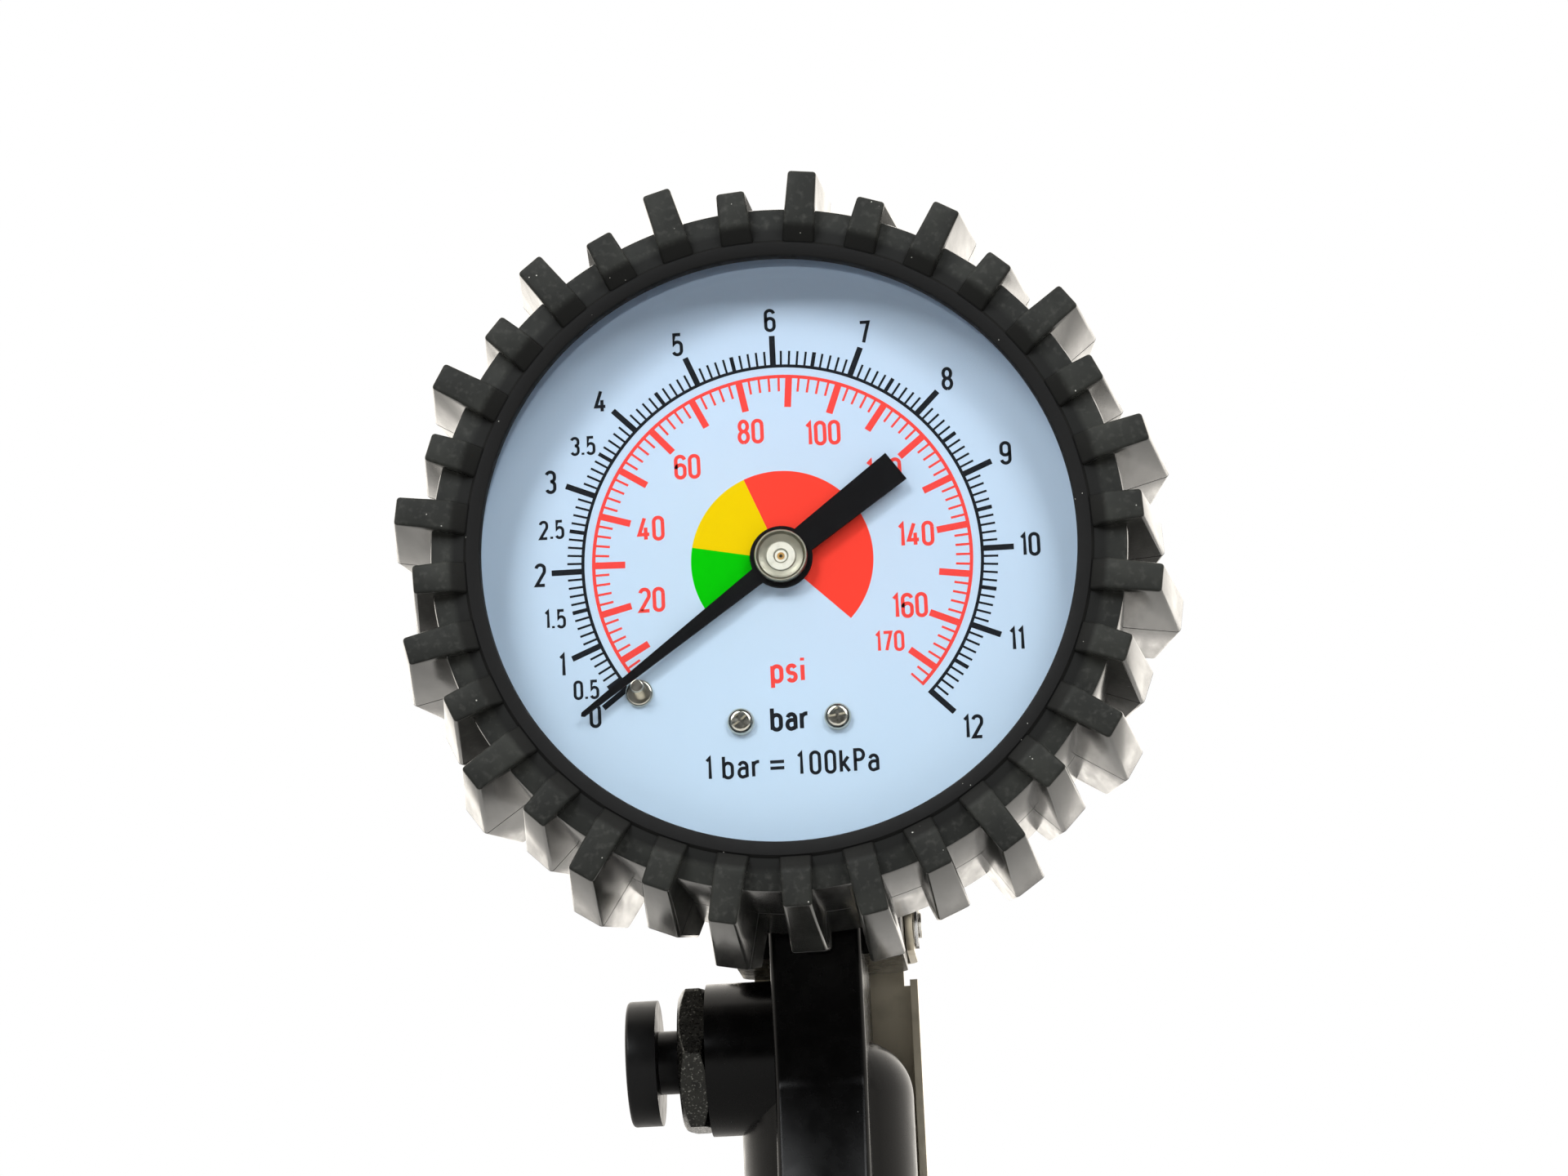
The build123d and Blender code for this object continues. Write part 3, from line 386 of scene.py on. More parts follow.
MATERIALS = {
    "boot_rubber": boot_rubber("boot_rubber", 0.08, 0.55, 0.010),
    "body_paint": satin_black("body_paint", 0.0013, 0.25, 0.10),
    "case_paint": satin_black("case_paint", 0.004, 0.28, 0.20),
    "pointer_black": satin_black("pointer_black", 0.0050, 0.48, 0.05),
    "button_black": satin_black("button_black", 0.0045, 0.34, 0.11),
    "black_rubber": soft_black("black_rubber", 0.62),
    "nickel": plated("nickel", (0.66, 0.63, 0.53), 0.17),
    "dark_chrome": forged_chrome(),
    "lever_nickel": plated("lever_nickel", (0.50, 0.455, 0.36), 0.34, 0.003, (1, 1, 0.2), 0.6),
    "nipple_steel": plated("nipple_steel", (0.62, 0.60, 0.55), 0.22),
    "steel_pin": plated("steel_pin", (0.64, 0.62, 0.58), 0.22),
    "spring_steel": plated("spring_steel", (0.58, 0.58, 0.58), 0.24),
    "brass": turned_brass("brass", (0.72, 0.53, 0.25)),
    "tube_bronze": turned_brass("tube_bronze", (0.66, 0.43, 0.22)),
    "spring_bronze": turned_brass("spring_bronze", (0.62, 0.42, 0.22)),
    "dial_enamel": dial_enamel(),
    "clear_plastic": clear_plastic(),
    "washer_fibre": ink("washer_fibre", (0.36, 0.07, 0.05)),
}
LUG_SIDES = boot_rubber("boot_flank", 0.80, 0.22, 0.004)
OWN_MATERIAL = {"pointer_cap": cap_nickel(), "pinion_shaft": shaft_end()}
BLACK_INK = ink("black_ink", (0.014, 0.016, 0.019))
RED_INK = ink("red_ink", (0.93, 0.070, 0.055))
ZONE_RED = ink("zone_red", (0.97, 0.058, 0.034))
ZONE_YELLOW = ink("zone_yellow", (0.86, 0.60, 0.0))
ZONE_GREEN = ink("zone_green", (0.0, 0.55, 0.0))

SLOT_OF = {part["node"]: part["material_slot"] for part in frame["record"]["subparts"]}
for name, thing in NODES.items():
    thing.data.materials.clear()
    thing.data.materials.append(OWN_MATERIAL.get(name) or MATERIALS[SLOT_OF[name]])


# ---------------------------------------------------------------- mesh helpers

# Heights over the dial's face in millimetres: the print's underside and top, and how much higher
# a stroke lies that crosses another one of its piece.
INK_LOW, INK_HIGH = 0.0, 0.012
CROSSING = 0.002
NO_LENGTH = 1e-9
WIDEST_MITRE = 0.5                 # smallest cosine by which a bend widens a ribbon
WELD = 0.002 * MM
SMOOTH_BELOW = radians(32)


def new_object(name, mesh, material):
    """An object of the scene with a finished mesh."""
    data = bpy.data.meshes.new(name)
    mesh.to_mesh(data)
    mesh.free()
    data.materials.append(material)
    thing = bpy.data.objects.new(name, data)
    bpy.context.scene.collection.objects.link(thing)
    return thing


def piece_from(name, mesh, material, body):
    """A finished piece: its object, its material, its slot and, if one is given, its body."""
    thing = new_object(name, mesh, material)
    if body:
        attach(thing, body)
    return thing


def smooth(thing):
    """Shades an object smooth, except over its sharp edges."""
    for face in thing.data.polygons:
        face.use_smooth = True
    thing.data.set_sharp_from_angle(angle=SMOOTH_BELOW)


def add_bar(mesh, sections, high):
    """A closed bar of print through pairs of dial points, the two edges of its top."""
    rows = []
    for left, right in sections:
        rows.append([mesh.verts.new(on_dial(*point, height)) for point, height in
                     ((left, high), (right, high), (right, INK_LOW), (left, INK_LOW))])
    for a, b in zip(rows, rows[1:]):
        for k in range(4):
            mesh.faces.new((a[k], a[(k + 1) % 4], b[(k + 1) % 4], b[k]))
    mesh.faces.new(rows[0][::-1])
    mesh.faces.new(rows[-1])


def add_ribbon(mesh, path, width, high=INK_HIGH):
    """Flat ribbon of a width along a path of dial points."""
    sections = []
    for index, (x, v) in enumerate(path):
        before = path[max(index - 1, 0)]
        after = path[min(index + 1, len(path) - 1)]
        into = Vector((x - before[0], v - before[1]))
        out = Vector((after[0] - x, after[1] - v))
        into = into.normalized() if into.length > NO_LENGTH else out.normalized()
        out = out.normalized() if out.length > NO_LENGTH else into
        middle = (into + out).normalized()
        square = max(middle.dot(into), WIDEST_MITRE)
        aside = Vector((-middle.y, middle.x)) * (width / 2 / square)
        sections.append(((x + aside.x, v + aside.y), (x - aside.x, v - aside.y)))
    add_bar(mesh, sections, high)


def add_sector(mesh, r_in, r_out, start, stop, high, step=2.0):
    """Ring sector between two radii and two angles in degrees."""
    steps = max(int(abs(stop - start) / step), 2)
    angles = [start + (stop - start) * index / steps for index in range(steps + 1)]
    add_bar(mesh, [(polar(r_out, angle), polar(r_in, angle)) for angle in angles], high)


def closed(mesh):
    """Turns the faces of every shell outwards."""
    bmesh.ops.recalc_face_normals(mesh, faces=mesh.faces[:])
    return mesh


# ---------------------------------------------------------------- stroke letters


def arc(cx, cy, rx, ry, start, stop, steps=10):
    """Points on an ellipse's arc, in degrees."""
    return [(cx + rx * cos(radians(start + (stop - start) * k / steps)),
             cy + ry * sin(radians(start + (stop - start) * k / steps))) for k in range(steps + 1)]


W = 0.40     # a digit's width between the middles of its strokes, for a height of 1
R = W / 2    # radius of its bowls
X = 0.70     # height of a small letter
# Each letter's width and strokes.
GLYPHS = {
    "0": (W, [arc(R, 1 - R, R, R, 0, 180) + arc(R, R, R, R, 180, 360) + [(W, 1 - R)]]),
    "1": (0.16, [[(0, 0.84), (0.14, 1.0), (0.14, 0)]]),
    "2": (W, [arc(R, 1 - R, R, R, 170, 0) + arc(R - 0.14, 0.72, R + 0.14, 0.30, -8, -38, 5)
              + [(0.02, 0.03), (0.0, 0.0), (W, 0.0)]]),
    "3": (W, [arc(R, 1 - R, R, R, 160, 0) + [(W, 0.70)] + arc(R, 0.70, R, 0.17, 0, -90, 6)
              + arc(R, 0.34, R, 0.19, 90, 0, 6) + [(W, R)] + arc(R, R, R, R, 0, -160)]),
    "4": (W + 0.04, [[(0.26, 1.0), (0.0, 0.24), (W + 0.06, 0.24)], [(0.30, 0.56), (0.30, 0.0)]]),
    "5": (W, [[(W - 0.03, 1.0), (0.06, 1.0), (0.03, 0.53)] + arc(R, 0.43, R, 0.20, 140, 0, 8)
              + [(W, R)] + arc(R, R, R, R, 0, -160)]),
    "6": (W, [arc(R, 1 - R, R, R, 10, 180) + [(0, R)] + arc(R, R, R, R, 180, 360) + [(W, 0.42)]
              + arc(R, 0.42, R, 0.18, 0, 180)]),
    "7": (W, [[(0.0, 1.0), (W, 1.0), (0.24, 0.42), (0.14, 0.0)]]),
    "8": (W, [arc(R, 0.76, R - 0.02, 0.24, -90, 270, 20), arc(R, 0.26, R, 0.26, -90, 270, 20)]),
    "9": (W, [arc(R, R, R, R, 190, 360) + [(W, 1 - R)] + arc(R, 1 - R, R, R, 0, 180) + [(0, 0.58)]
              + arc(R, 0.58, R, 0.18, 180, 360)]),
    ".": (0.06, [[(0.03, -0.04), (0.03, 0.09)]]),
    "=": (0.66, [[(0, 0.34), (0.66, 0.34)], [(0, 0.64), (0.66, 0.64)]]),
    "b": (W, [[(0, 1.02), (0, 0)], arc(R, X - R, R, R, 180, 0) + arc(R, R, R, R, 0, -180)]),
    "a": (W - 0.02, [arc(R, X - R, R - 0.02, R, 165, 0, 8) + [(W - 0.02, 0)],
                     [(W - 0.02, 0.42)] + arc(R - 0.02, 0.21, R - 0.02, 0.21, 90, 270, 10)
                     + [(W - 0.02, 0.06)]]),
    "r": (0.24, [[(0, X + 0.02), (0, 0)], arc(0.24, X - 0.24, 0.24, 0.24, 180, 80, 6)]),
    "p": (W, [[(0, X + 0.02), (0, -0.28)], arc(R, X - R, R, R, 180, 0) + arc(R, R, R, R, 0, -180)]),
    "s": (W - 0.06, [arc(0.17, X - 0.17, 0.17, 0.17, 20, 180, 8)
                     + arc(0.17, X - 0.19, 0.17, 0.16, 180, 250, 4)
                     + arc(0.17, 0.19, 0.17, 0.16, 70, 0, 4)
                     + arc(0.17, 0.17, 0.17, 0.17, 0, -160, 8)]),
    "i": (0.04, [[(0.02, X), (0.02, 0)], [(0.02, 0.90), (0.02, 1.03)]]),
    "k": (W - 0.02, [[(0, 1.02), (0, 0)], [(W - 0.06, X), (0.02, 0.28)],
                     [(0.12, 0.40), (W - 0.02, 0)]]),
    "P": (W, [[(0, 0), (0, 1.0), (0.19, 1.0)] + arc(0.19, 0.76, 0.21, 0.24, 90, -90)
              + [(0.0, 0.52)]]),
}


def word_width(word, gap):
    """Width of a word for a letter height of 1."""
    return sum(GLYPHS[letter][0] for letter in word) + gap * (len(word) - 1)


def add_word(mesh, word, x, v, size, gap=0.24):
    """Centres a word on a dial point; size is its height over all and the width of a stroke."""
    height, stroke = size
    scale = height - stroke
    pen = x - word_width(word, gap) * scale / 2
    base = v - scale / 2
    for letter in word:
        width, strokes = GLYPHS[letter]
        for index, path in enumerate(strokes):
            points = [(pen + px * scale, base + py * scale) for px, py in path]
            add_ribbon(mesh, points, stroke, INK_HIGH + CROSSING * index)
        pen += (width + gap) * scale


# ---------------------------------------------------------------- printed dial

ZERO_ANGLE, SWEEP = 225.0, 270.0
ZERO_TICK_ANGLE = 217.2     # the mark at rest is moved up to where the stop holds the pointer
BAR_FULL, PSI_FULL = 12.0, 174.05

# Radii of the two scales' arcs; where a tick starts; where it ends, and its width.
BAR_ARC, PSI_ARC = (24.33, 24.72), (22.98, 23.40)
BAR_TICK_R, PSI_TICK_R = 24.5, 23.2
BAR_LONG, BAR_HALF, BAR_SHORT = (28.4, 0.72), (26.5, 0.48), (26.45, 0.27)
PSI_LONG, PSI_SHORT = (19.3, 0.84), (21.3, 0.28)
BAR_TENTHS, PSI_PAIRS = range(5, 121), range(4, 88)
# By how many degrees each arc starts before its first tick, and ends after its last one.
BAR_ARC_ENDS, PSI_ARC_ENDS = (0.5, 0.8), (1.6, 0.4)

# The bar numbers, in half bars, with the turns that keep the first ones clear of the mark at rest.
BAR_HALVES = (0, 1, 2, 3, 4, 5, 6, 7, 8, 10, 12, 14, 16, 18, 20, 22, 24)
BAR_LAST, BAR_OUTER_FROM = 24, 6
BAR_TURNS, BAR_TURN = {0: -7.6, 1: -2.8}, 0.3
BAR_HALF_R, BAR_INNER_R, BAR_OUTER_R, BAR_LAST_OUT = 28.75, 29.8, 30.4, 0.9
PSI_NUMBERS_R = 16.7
PSI_ROUND, PSI_LAST, PSI_LAST_TURN = (20, 40, 60, 80, 100, 120, 140, 160), 170, -2.0

# Heights and strokes of the print.
WHOLE_SIZE, HALF_SIZE = (2.98, 0.41), (2.43, 0.35)
PSI_SIZE, PSI_LAST_SIZE = (3.15, 0.45), (2.6, 0.38)
PSI_WORD_SIZE, BAR_WORD_SIZE, KPA_SIZE = (3.2, 0.50), (3.1, 0.50), (2.98, 0.40)
PSI_WORD_AT, BAR_WORD_AT, KPA_LEVEL = (0.05, -13.75), (0.0, -19.75), -25.35
WORD_GAP, KPA_GAP = 0.30, 0.31
KPA_WORDS = (("1", -10.1), ("bar", -6.15), ("=", -1.75), ("1", 1.05), ("00", 3.8), ("k", 6.5),
             ("P", 8.25), ("a", 9.95))

ZONE_IN_R, ZONE_OUT_R = 1.9, 11.2
ZONE_HIGH = INK_HIGH - 0.004
GREEN_START, YELLOW_BAR, RED_BAR, RED_STOP = 217.0, 2.5, 5, -43.8


def bar_angle(bar):
    """Direction of a pressure in bar, in degrees."""
    return ZERO_ANGLE - SWEEP * bar / BAR_FULL


def psi_angle(psi):
    """Direction of a pressure in psi, in degrees."""
    return ZERO_ANGLE - SWEEP * psi / PSI_FULL


def tick(mesh, angle, start_r, kind):
    """A mark along a radius; kind is the radius where it ends and its width."""
    end_r, width = kind
    add_ribbon(mesh, [polar(start_r, angle), polar(end_r, angle)], width)


def printed(name, mesh, material):
    """Finishes a piece of the dial's print."""
    piece_from(name, closed(mesh), material, "frame")


def bar_scale():
    """Outer scale: ticks every 0.1 bar from 0.5, thicker at the halves, long at whole numbers."""
    mesh = bmesh.new()
    before, after = BAR_ARC_ENDS
    add_sector(mesh, *BAR_ARC, bar_angle(0.5) + before, bar_angle(12) - after, INK_HIGH + CROSSING)
    tick(mesh, ZERO_TICK_ANGLE, BAR_TICK_R, BAR_LONG)
    for tenth in BAR_TENTHS:
        kind = BAR_LONG if tenth % 10 == 0 else BAR_HALF if tenth % 5 == 0 else BAR_SHORT
        tick(mesh, bar_angle(tenth / 10), BAR_TICK_R, kind)
    printed("dial_scale_bar", mesh, BLACK_INK)


def psi_scale():
    """Inner scale: an arc with a tick every 2 psi from 8, thick and long every 10."""
    mesh = bmesh.new()
    before, after = PSI_ARC_ENDS
    add_sector(mesh, *PSI_ARC, psi_angle(8) + before, psi_angle(174) - after, INK_HIGH + CROSSING)
    for pair in PSI_PAIRS:
        tick(mesh, psi_angle(2 * pair), PSI_TICK_R, PSI_LONG if pair % 5 == 0 else PSI_SHORT)
    printed("dial_scale_psi", mesh, RED_INK)


def bar_numbers():
    """The numbers round the outer scale, smaller at the halves."""
    mesh = bmesh.new()
    for half in BAR_HALVES:
        if half % 2:
            word, size, radius = f"{half // 2}.5", HALF_SIZE, BAR_HALF_R
        else:
            word, size = str(half // 2), WHOLE_SIZE
            radius = BAR_INNER_R if half < BAR_OUTER_FROM else BAR_OUTER_R
        if half == BAR_LAST:
            radius += BAR_LAST_OUT
        x, v = polar(radius, bar_angle(half / 2) + BAR_TURNS.get(half, BAR_TURN))
        add_word(mesh, word, x, v, size)
    printed("dial_numbers_bar", mesh, BLACK_INK)


def psi_numbers():
    """The numbers inside the inner scale, and the unit under the hub."""
    mesh = bmesh.new()
    for psi in PSI_ROUND:
        add_word(mesh, str(psi), *polar(PSI_NUMBERS_R, psi_angle(psi)), PSI_SIZE)
    last = polar(PSI_NUMBERS_R, psi_angle(PSI_LAST) + PSI_LAST_TURN)
    add_word(mesh, str(PSI_LAST), *last, PSI_LAST_SIZE)
    add_word(mesh, "psi", *PSI_WORD_AT, PSI_WORD_SIZE, WORD_GAP)
    printed("dial_numbers_psi", mesh, RED_INK)


def unit_words():
    """The words low on the dial: the outer scale's unit, and what it is in kilopascals."""
    mesh = bmesh.new()
    add_word(mesh, "bar", *BAR_WORD_AT, BAR_WORD_SIZE, WORD_GAP)
    for word, x in KPA_WORDS:
        add_word(mesh, word, x, KPA_LEVEL, KPA_SIZE, KPA_GAP)
    printed("dial_words", mesh, BLACK_INK)


def zone(name, start, stop, material):
    """A coloured sector round the hub, between two angles in degrees."""
    mesh = bmesh.new()
    add_sector(mesh, ZONE_IN_R, ZONE_OUT_R, start, stop, ZONE_HIGH, step=1.5)
    printed(name, mesh, material)


bar_scale()
psi_scale()
bar_numbers()
psi_numbers()
unit_words()
zone("dial_zone_green", GREEN_START, bar_angle(YELLOW_BAR), ZONE_GREEN)
zone("dial_zone_yellow", bar_angle(YELLOW_BAR), bar_angle(RED_BAR), ZONE_YELLOW)
zone("dial_zone_red", bar_angle(RED_BAR), RED_STOP, ZONE_RED)

# ---------------------------------------------------------------- rubber boot

# Heights over the dial's face, and radii from the gauge's axis, in millimetres.
BOOT_MID = (DIAL_Y - BOOT_MID_Y) / MM
LUG_FRONT = (DIAL_Y - BOOT_LOW[1]) / MM
FRONT = LUG_FRONT - 1.5          # the inner ring's front
STEP = FRONT - 0.4               # the step between the ring and the lugs
LIP_DEPTH = 1.95
OPENING_R, RING_R, BASE_R = 36.1, 37.9, 42.2
BACK_R, HOLLOW_R = 34.0, 40.05
RING_STEPS = 384

LUG_PAIRS = 16
FIRST_LUG, LUG_SWAY = 81.5, 2.1                      # degrees
LUG_INNER_R = 39.8
LONG_LUG, SHORT_LUG = (46.5, 49.28), (44.2, 46.98)   # outer radius at the front and half way
LUG_FOOT_R, LUG_FOOT = BASE_R - 1.2, FRONT - 0.9     # buried in the ring
LUG_HALF, LUG_TAPER = 2.2, 0.45      # half the width at the parting plane; less of it in front
LUG_FLARE, FLARE_FADE = 0.22, 5.0    # extra half width at the root; the height where it ends
LUG_ROUND = 0.42 * MM
LUG_SIDE_R, LUG_SIDE_SLOPE = BASE_R - 0.3, 0.42      # faces beyond this radius, and this upright


def mirrored(h):
    """The height on the other side of the boot's middle plane."""
    return 2 * BOOT_MID - h


def boot_ring():
    """The boot without its lugs, turned about the gauge axis, with rounded lips."""
    back = mirrored(STEP)
    profile = [(OPENING_R + 0.35, FRONT - LIP_DEPTH), (OPENING_R, FRONT - 1.6),
               (OPENING_R, FRONT - 0.35), (OPENING_R + 0.12, FRONT - 0.10),
               (OPENING_R + 0.35, FRONT), (RING_R - 0.12, FRONT), (RING_R, FRONT - 0.10),
               (RING_R + 0.25, STEP), (BASE_R - 0.40, STEP), (BASE_R - 0.12, STEP - 0.10),
               (BASE_R, STEP - 0.38), (BASE_R, mirrored(STEP - 0.38)),
               (BASE_R - 0.12, mirrored(STEP - 0.10)), (BASE_R - 0.40, back),
               (BACK_R + 0.3, back), (BACK_R, back + 0.3), (BACK_R, back + 1.0),
               (HOLLOW_R, back + 1.0), (HOLLOW_R, FRONT - LIP_DEPTH)]
    mesh = bmesh.new()
    rows = []
    for index in range(RING_STEPS):
        angle = 360 * index / RING_STEPS
        rows.append([mesh.verts.new(on_dial(*polar(r, angle), h)) for r, h in profile])
    count = len(profile)
    for index in range(RING_STEPS):
        a, b = rows[index], rows[(index + 1) % RING_STEPS]
        for k in range(count):
            mesh.faces.new((a[k], b[k], b[(k + 1) % count], a[(k + 1) % count]))
    return closed(mesh)


def add_lug(mesh, angle, front_r, mid_r):
    """One lug, two tapered halves that meet at the parting plane; gives the edges to round."""
    turn = radians(angle)
    near = [(RING_R + 0.05, LUG_FOOT), (RING_R + 0.05, FRONT - 0.12), (LUG_INNER_R, LUG_FRONT),
            (front_r, LUG_FRONT)]
    outline = near + [(mid_r, BOOT_MID)] + [(r, mirrored(h)) for r, h in reversed(near)]
    outline += [(LUG_FOOT_R, mirrored(LUG_FOOT)), (LUG_FOOT_R, BOOT_MID), (LUG_FOOT_R, LUG_FOOT)]
    count = len(outline)
    mid_out, mid_in = len(near), count - 2
    depth = LUG_FRONT - BOOT_MID

    def corner(r, h, side):
        half = LUG_HALF - LUG_TAPER * min(abs(h - BOOT_MID) / depth, 1.0)
        flare = LUG_FLARE * max(0.0, 1.0 - (r - RING_R) / FLARE_FADE)
        aside = side * (half + flare)
        return mesh.verts.new(on_dial(r * cos(turn) - aside * sin(turn),
                                      r * sin(turn) + aside * cos(turn), h))

    left = [corner(r, h, 1) for r, h in outline]
    right = [corner(r, h, -1) for r, h in outline]
    for side in (left, right):
        mesh.faces.new(side[:mid_out + 1] + side[mid_in:])
        mesh.faces.new(side[mid_out:mid_in + 1])
    for k in range(count):
        after = (k + 1) % count
        mesh.faces.new((left[k], left[after], right[after], right[k]))
    # Corners 1 to 7 stand clear of the ring; 2, 3, 5 and 6 bound the front and the back.
    soft = []
    for k in range(1, 7):
        soft += [mesh.edges.get((left[k], left[k + 1])), mesh.edges.get((right[k], right[k + 1]))]
        if k in (2, 3, 5, 6):
            soft.append(mesh.edges.get((left[k], right[k])))
    return soft


def boot_lugs():
    """Long and short lugs in turn round the boot, with rounded edges."""
    mesh = bmesh.new()
    soft = []
    for pair in range(LUG_PAIRS):
        for shift, radii in ((0.0, LONG_LUG), (0.5, SHORT_LUG)):
            nominal = FIRST_LUG - 360 / LUG_PAIRS * (pair + shift)
            soft += add_lug(mesh, nominal + LUG_SWAY * sin(radians(nominal)), *radii)
    closed(mesh)
    bmesh.ops.bevel(mesh, geom=soft, offset=LUG_ROUND, segments=3, profile=0.5, affect="EDGES",
                    clamp_overlap=True)
    return closed(mesh)


def rubber_boot():
    """The ring and its lugs, joined into one closed skin; the lugs' sides are glossier."""
    rubber = MATERIALS["boot_rubber"]
    boot = piece_from("tread_boot", boot_ring(), rubber, "frame")
    lugs = new_object("lugs", boot_lugs(), rubber)
    join = boot.modifiers.new("join", "BOOLEAN")
    join.operation = "UNION"
    join.solver = "EXACT"
    join.object = lugs
    bpy.context.view_layer.update()
    view = boot.evaluated_get(bpy.context.evaluated_depsgraph_get())
    boot.data = bpy.data.meshes.new_from_object(view)
    boot.modifiers.clear()
    bpy.data.objects.remove(lugs)
    boot.data.name = "tread_boot"
    boot.data.materials.clear()
    boot.data.materials.append(rubber)
    boot.data.materials.append(LUG_SIDES)
    for face in boot.data.polygons:
        outer = across_dial(face.center) > LUG_SIDE_R * MM
        face.material_index = 1 if outer and abs(face.normal.y) < LUG_SIDE_SLOPE else 0
    smooth(boot)
    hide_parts("gauge_boot")


rubber_boot()

# ---------------------------------------------------------------- springs and the tube as their own meshes


def supple(node, name, body):
    """A welded, smooth-shaded copy of a CAD node's mesh, on its body if one is given, in place of
    the hidden node.
    """
    mesh = bmesh.new()
    mesh.from_mesh(NODES[node].data)
    bmesh.ops.remove_doubles(mesh, verts=mesh.verts[:], dist=WELD)
    thing = piece_from(name, mesh, MATERIALS[SLOT_OF[node]], body)
    smooth(thing)
    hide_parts(node)
    return thing


def coil_spring(node, side, seat_end):
    """A compression spring copied as its own mesh on the frame; the point at its fixed end (0 low,
    1 high) is worked out but not used.
    """
    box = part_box(node)
    anchor = [(low + high) / 2 for low, high in zip(*box)]
    anchor[side] = box[seat_end][side]
    spring = supple(node, node + "_coil", "frame")
    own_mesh(spring)


def pressure_tube():
    """The Bourdon tube as its own mesh with no body; its free end is at the right of the gauge."""
    tube = supple("bourdon_tube", "pressure_tube", None)
    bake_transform(tube)


coil_spring("bleed_spring", 0, 1)
coil_spring("valve_spring", 1, 0)
pressure_tube()

# ---------------------------------------------------------------- soft edges on the CAD pieces

# Width in millimetres and number of steps of each rounding.
SOFT_EDGES = {"handle_body": (0.40, 4), "bleed_button": (0.15, 2), "bleed_nut": (0.14, 2),
              "trigger_lever": (0.14, 2), "lever_pin": (0.12, 2), "pin_clip": (0.06, 2),
              "inlet_nipple": (0.12, 2), "gauge_case": (0.3, 2), "pointer_cap": (0.04, 2)}
SHARP_FROM = radians(38)


def soften(node, width_mm, segments):
    """Rounds the sharp edges of a CAD node a little."""
    thing = NODES[node]
    weld = thing.modifiers.new("weld", "WELD")
    weld.merge_threshold = WELD
    bevel = thing.modifiers.new("bevel", "BEVEL")
    bevel.width = width_mm * MM
    bevel.segments = segments
    bevel.limit_method = "ANGLE"
    bevel.angle_limit = SHARP_FROM


for node, (width, segments) in SOFT_EDGES.items():
    soften(node, width, segments)

# ---------------------------------------------------------------- stage, light and camera

FLOOR_SIZE, FLOOR_DROP = 6.0, 0.002
FLOOR_LEVEL = 0.34

# The world's light on the object: white from behind and beside it, dark from where the dial faces,
# with the change between two slopes towards the dial's side. The camera sees it plain white.
FRONT_STRENGTH, BACK_STRENGTH = 0.02, 2.4
DARK_TO, WHITE_FROM = -0.86, -0.16
SEEN_STRENGTH = 1.0
WORLD_TONE = (1.0, 0.95, 0.875, 1)
WHITE = (1, 1, 1, 1)

LIGHT_SIZE = 0.6
LIGHT_TONE = (0.95, 0.975, 1.0)
KEY_PLACE, KEY_POWER = (-0.50, -1.00, 0.86), 18.5
FILL_PLACE, FILL_POWER = (0.50, -1.00, 0.82), 13.0
BODY_MIDDLE = Vector((0, -0.02, 0.13))


def pale_floor():
    """A large level floor just under the object."""
    mesh = bmesh.new()
    bmesh.ops.create_grid(mesh, x_segments=1, y_segments=1, size=FLOOR_SIZE / 2)
    floor = new_object("floor", mesh, pale_stage("floor_white", FLOOR_LEVEL))
    floor.location = (0, 0, -FLOOR_DROP)


pale_floor()

world = bpy.data.worlds.new("studio")
bpy.context.scene.world = world
world.use_nodes = True
sky = world.node_tree
background = sky.nodes["Background"]
direction = sky.nodes.new("ShaderNodeTexCoord")
split = sky.nodes.new("ShaderNodeSeparateXYZ")
sky.links.new(direction.outputs["Generated"], split.inputs["Vector"])
fall = sky.nodes.new("ShaderNodeMapRange")
fall.interpolation_type = "SMOOTHSTEP"
fall.inputs["From Min"].default_value = DARK_TO
fall.inputs["From Max"].default_value = WHITE_FROM
fall.inputs["To Min"].default_value = FRONT_STRENGTH
fall.inputs["To Max"].default_value = BACK_STRENGTH
sky.links.new(split.outputs["Y"], fall.inputs["Value"])
seen = sky.nodes.new("ShaderNodeLightPath")
level = sky.nodes.new("ShaderNodeMix")
level.data_type = "FLOAT"
level.inputs["B"].default_value = SEEN_STRENGTH
sky.links.new(seen.outputs["Is Camera Ray"], level.inputs["Factor"])
sky.links.new(fall.outputs["Result"], level.inputs["A"])
sky.links.new(level.outputs["Result"], background.inputs["Strength"])
tone = sky.nodes.new("ShaderNodeMix")
tone.data_type = "RGBA"
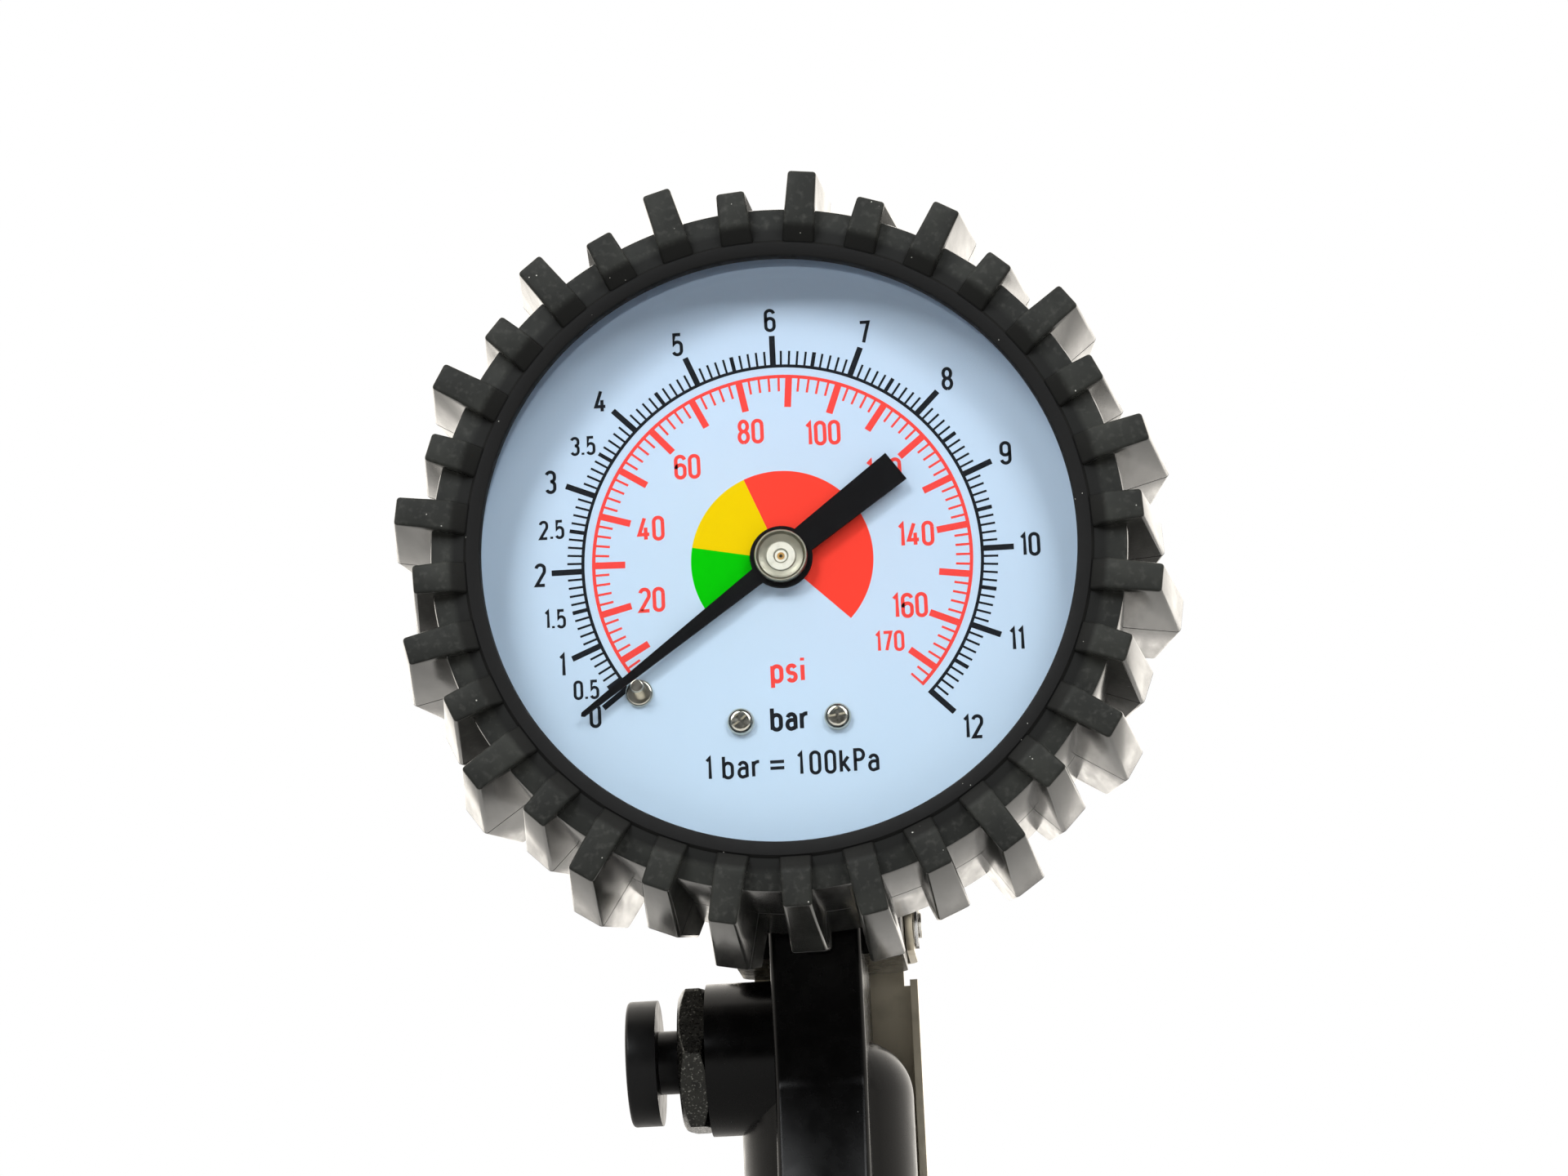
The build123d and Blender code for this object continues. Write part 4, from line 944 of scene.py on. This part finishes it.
tone.inputs["A"].default_value = WORLD_TONE
tone.inputs["B"].default_value = WHITE
sky.links.new(seen.outputs["Is Camera Ray"], tone.inputs["Factor"])
sky.links.new(tone.outputs["Result"], background.inputs["Color"])


def soft_light(name, place, power):
    """A square area light that looks at the middle of the object."""
    data = bpy.data.lights.new(name, "AREA")
    data.shape = "SQUARE"
    data.size = LIGHT_SIZE
    data.energy = power
    data.color = LIGHT_TONE
    thing = bpy.data.objects.new(name, data)
    thing.location = place
    thing.rotation_mode = "QUATERNION"
    thing.rotation_quaternion = (BODY_MIDDLE - Vector(place)).to_track_quat("-Z", "Y")
    bpy.context.scene.collection.objects.link(thing)


soft_light("key", KEY_PLACE, KEY_POWER)
soft_light("fill", FILL_PLACE, FILL_POWER)

# The camera looks up at the dial from below and a little from the right, and leans with the hand.
CAMERA_DISTANCE = 0.5501
LOOK_UP, LOOK_LEFT, LEAN = 11.91, 3.17, 2.67
LENS, SENSOR = 103.1, 36.0
CLIP_START = 0.01
AIM_RIGHT, AIM_DOWN = 0.23 * MM, 3.44 * MM

forward = Vector((-sin(radians(LOOK_LEFT)) * cos(radians(LOOK_UP)),
                  cos(radians(LOOK_LEFT)) * cos(radians(LOOK_UP)), sin(radians(LOOK_UP))))
level_right = forward.cross(Vector((0, 0, 1))).normalized()
level_up = level_right.cross(forward)
right = level_right * cos(radians(LEAN)) - level_up * sin(radians(LEAN))
up = level_up * cos(radians(LEAN)) + level_right * sin(radians(LEAN))
aim = on_dial(0, 0, 0) + right * AIM_RIGHT - up * AIM_DOWN
eye = aim - forward * CAMERA_DISTANCE

camera_data = bpy.data.cameras.new("camera")
camera_data.lens = LENS
camera_data.sensor_width = SENSOR
camera_data.clip_start = CLIP_START
camera = bpy.data.objects.new("camera", camera_data)
turn = Matrix((right, up, -forward)).transposed().to_4x4()
camera.matrix_world = Matrix.Translation(eye) @ turn
bpy.context.scene.collection.objects.link(camera)
bpy.context.scene.camera = camera
bpy.context.scene.view_settings.view_transform = "Standard"
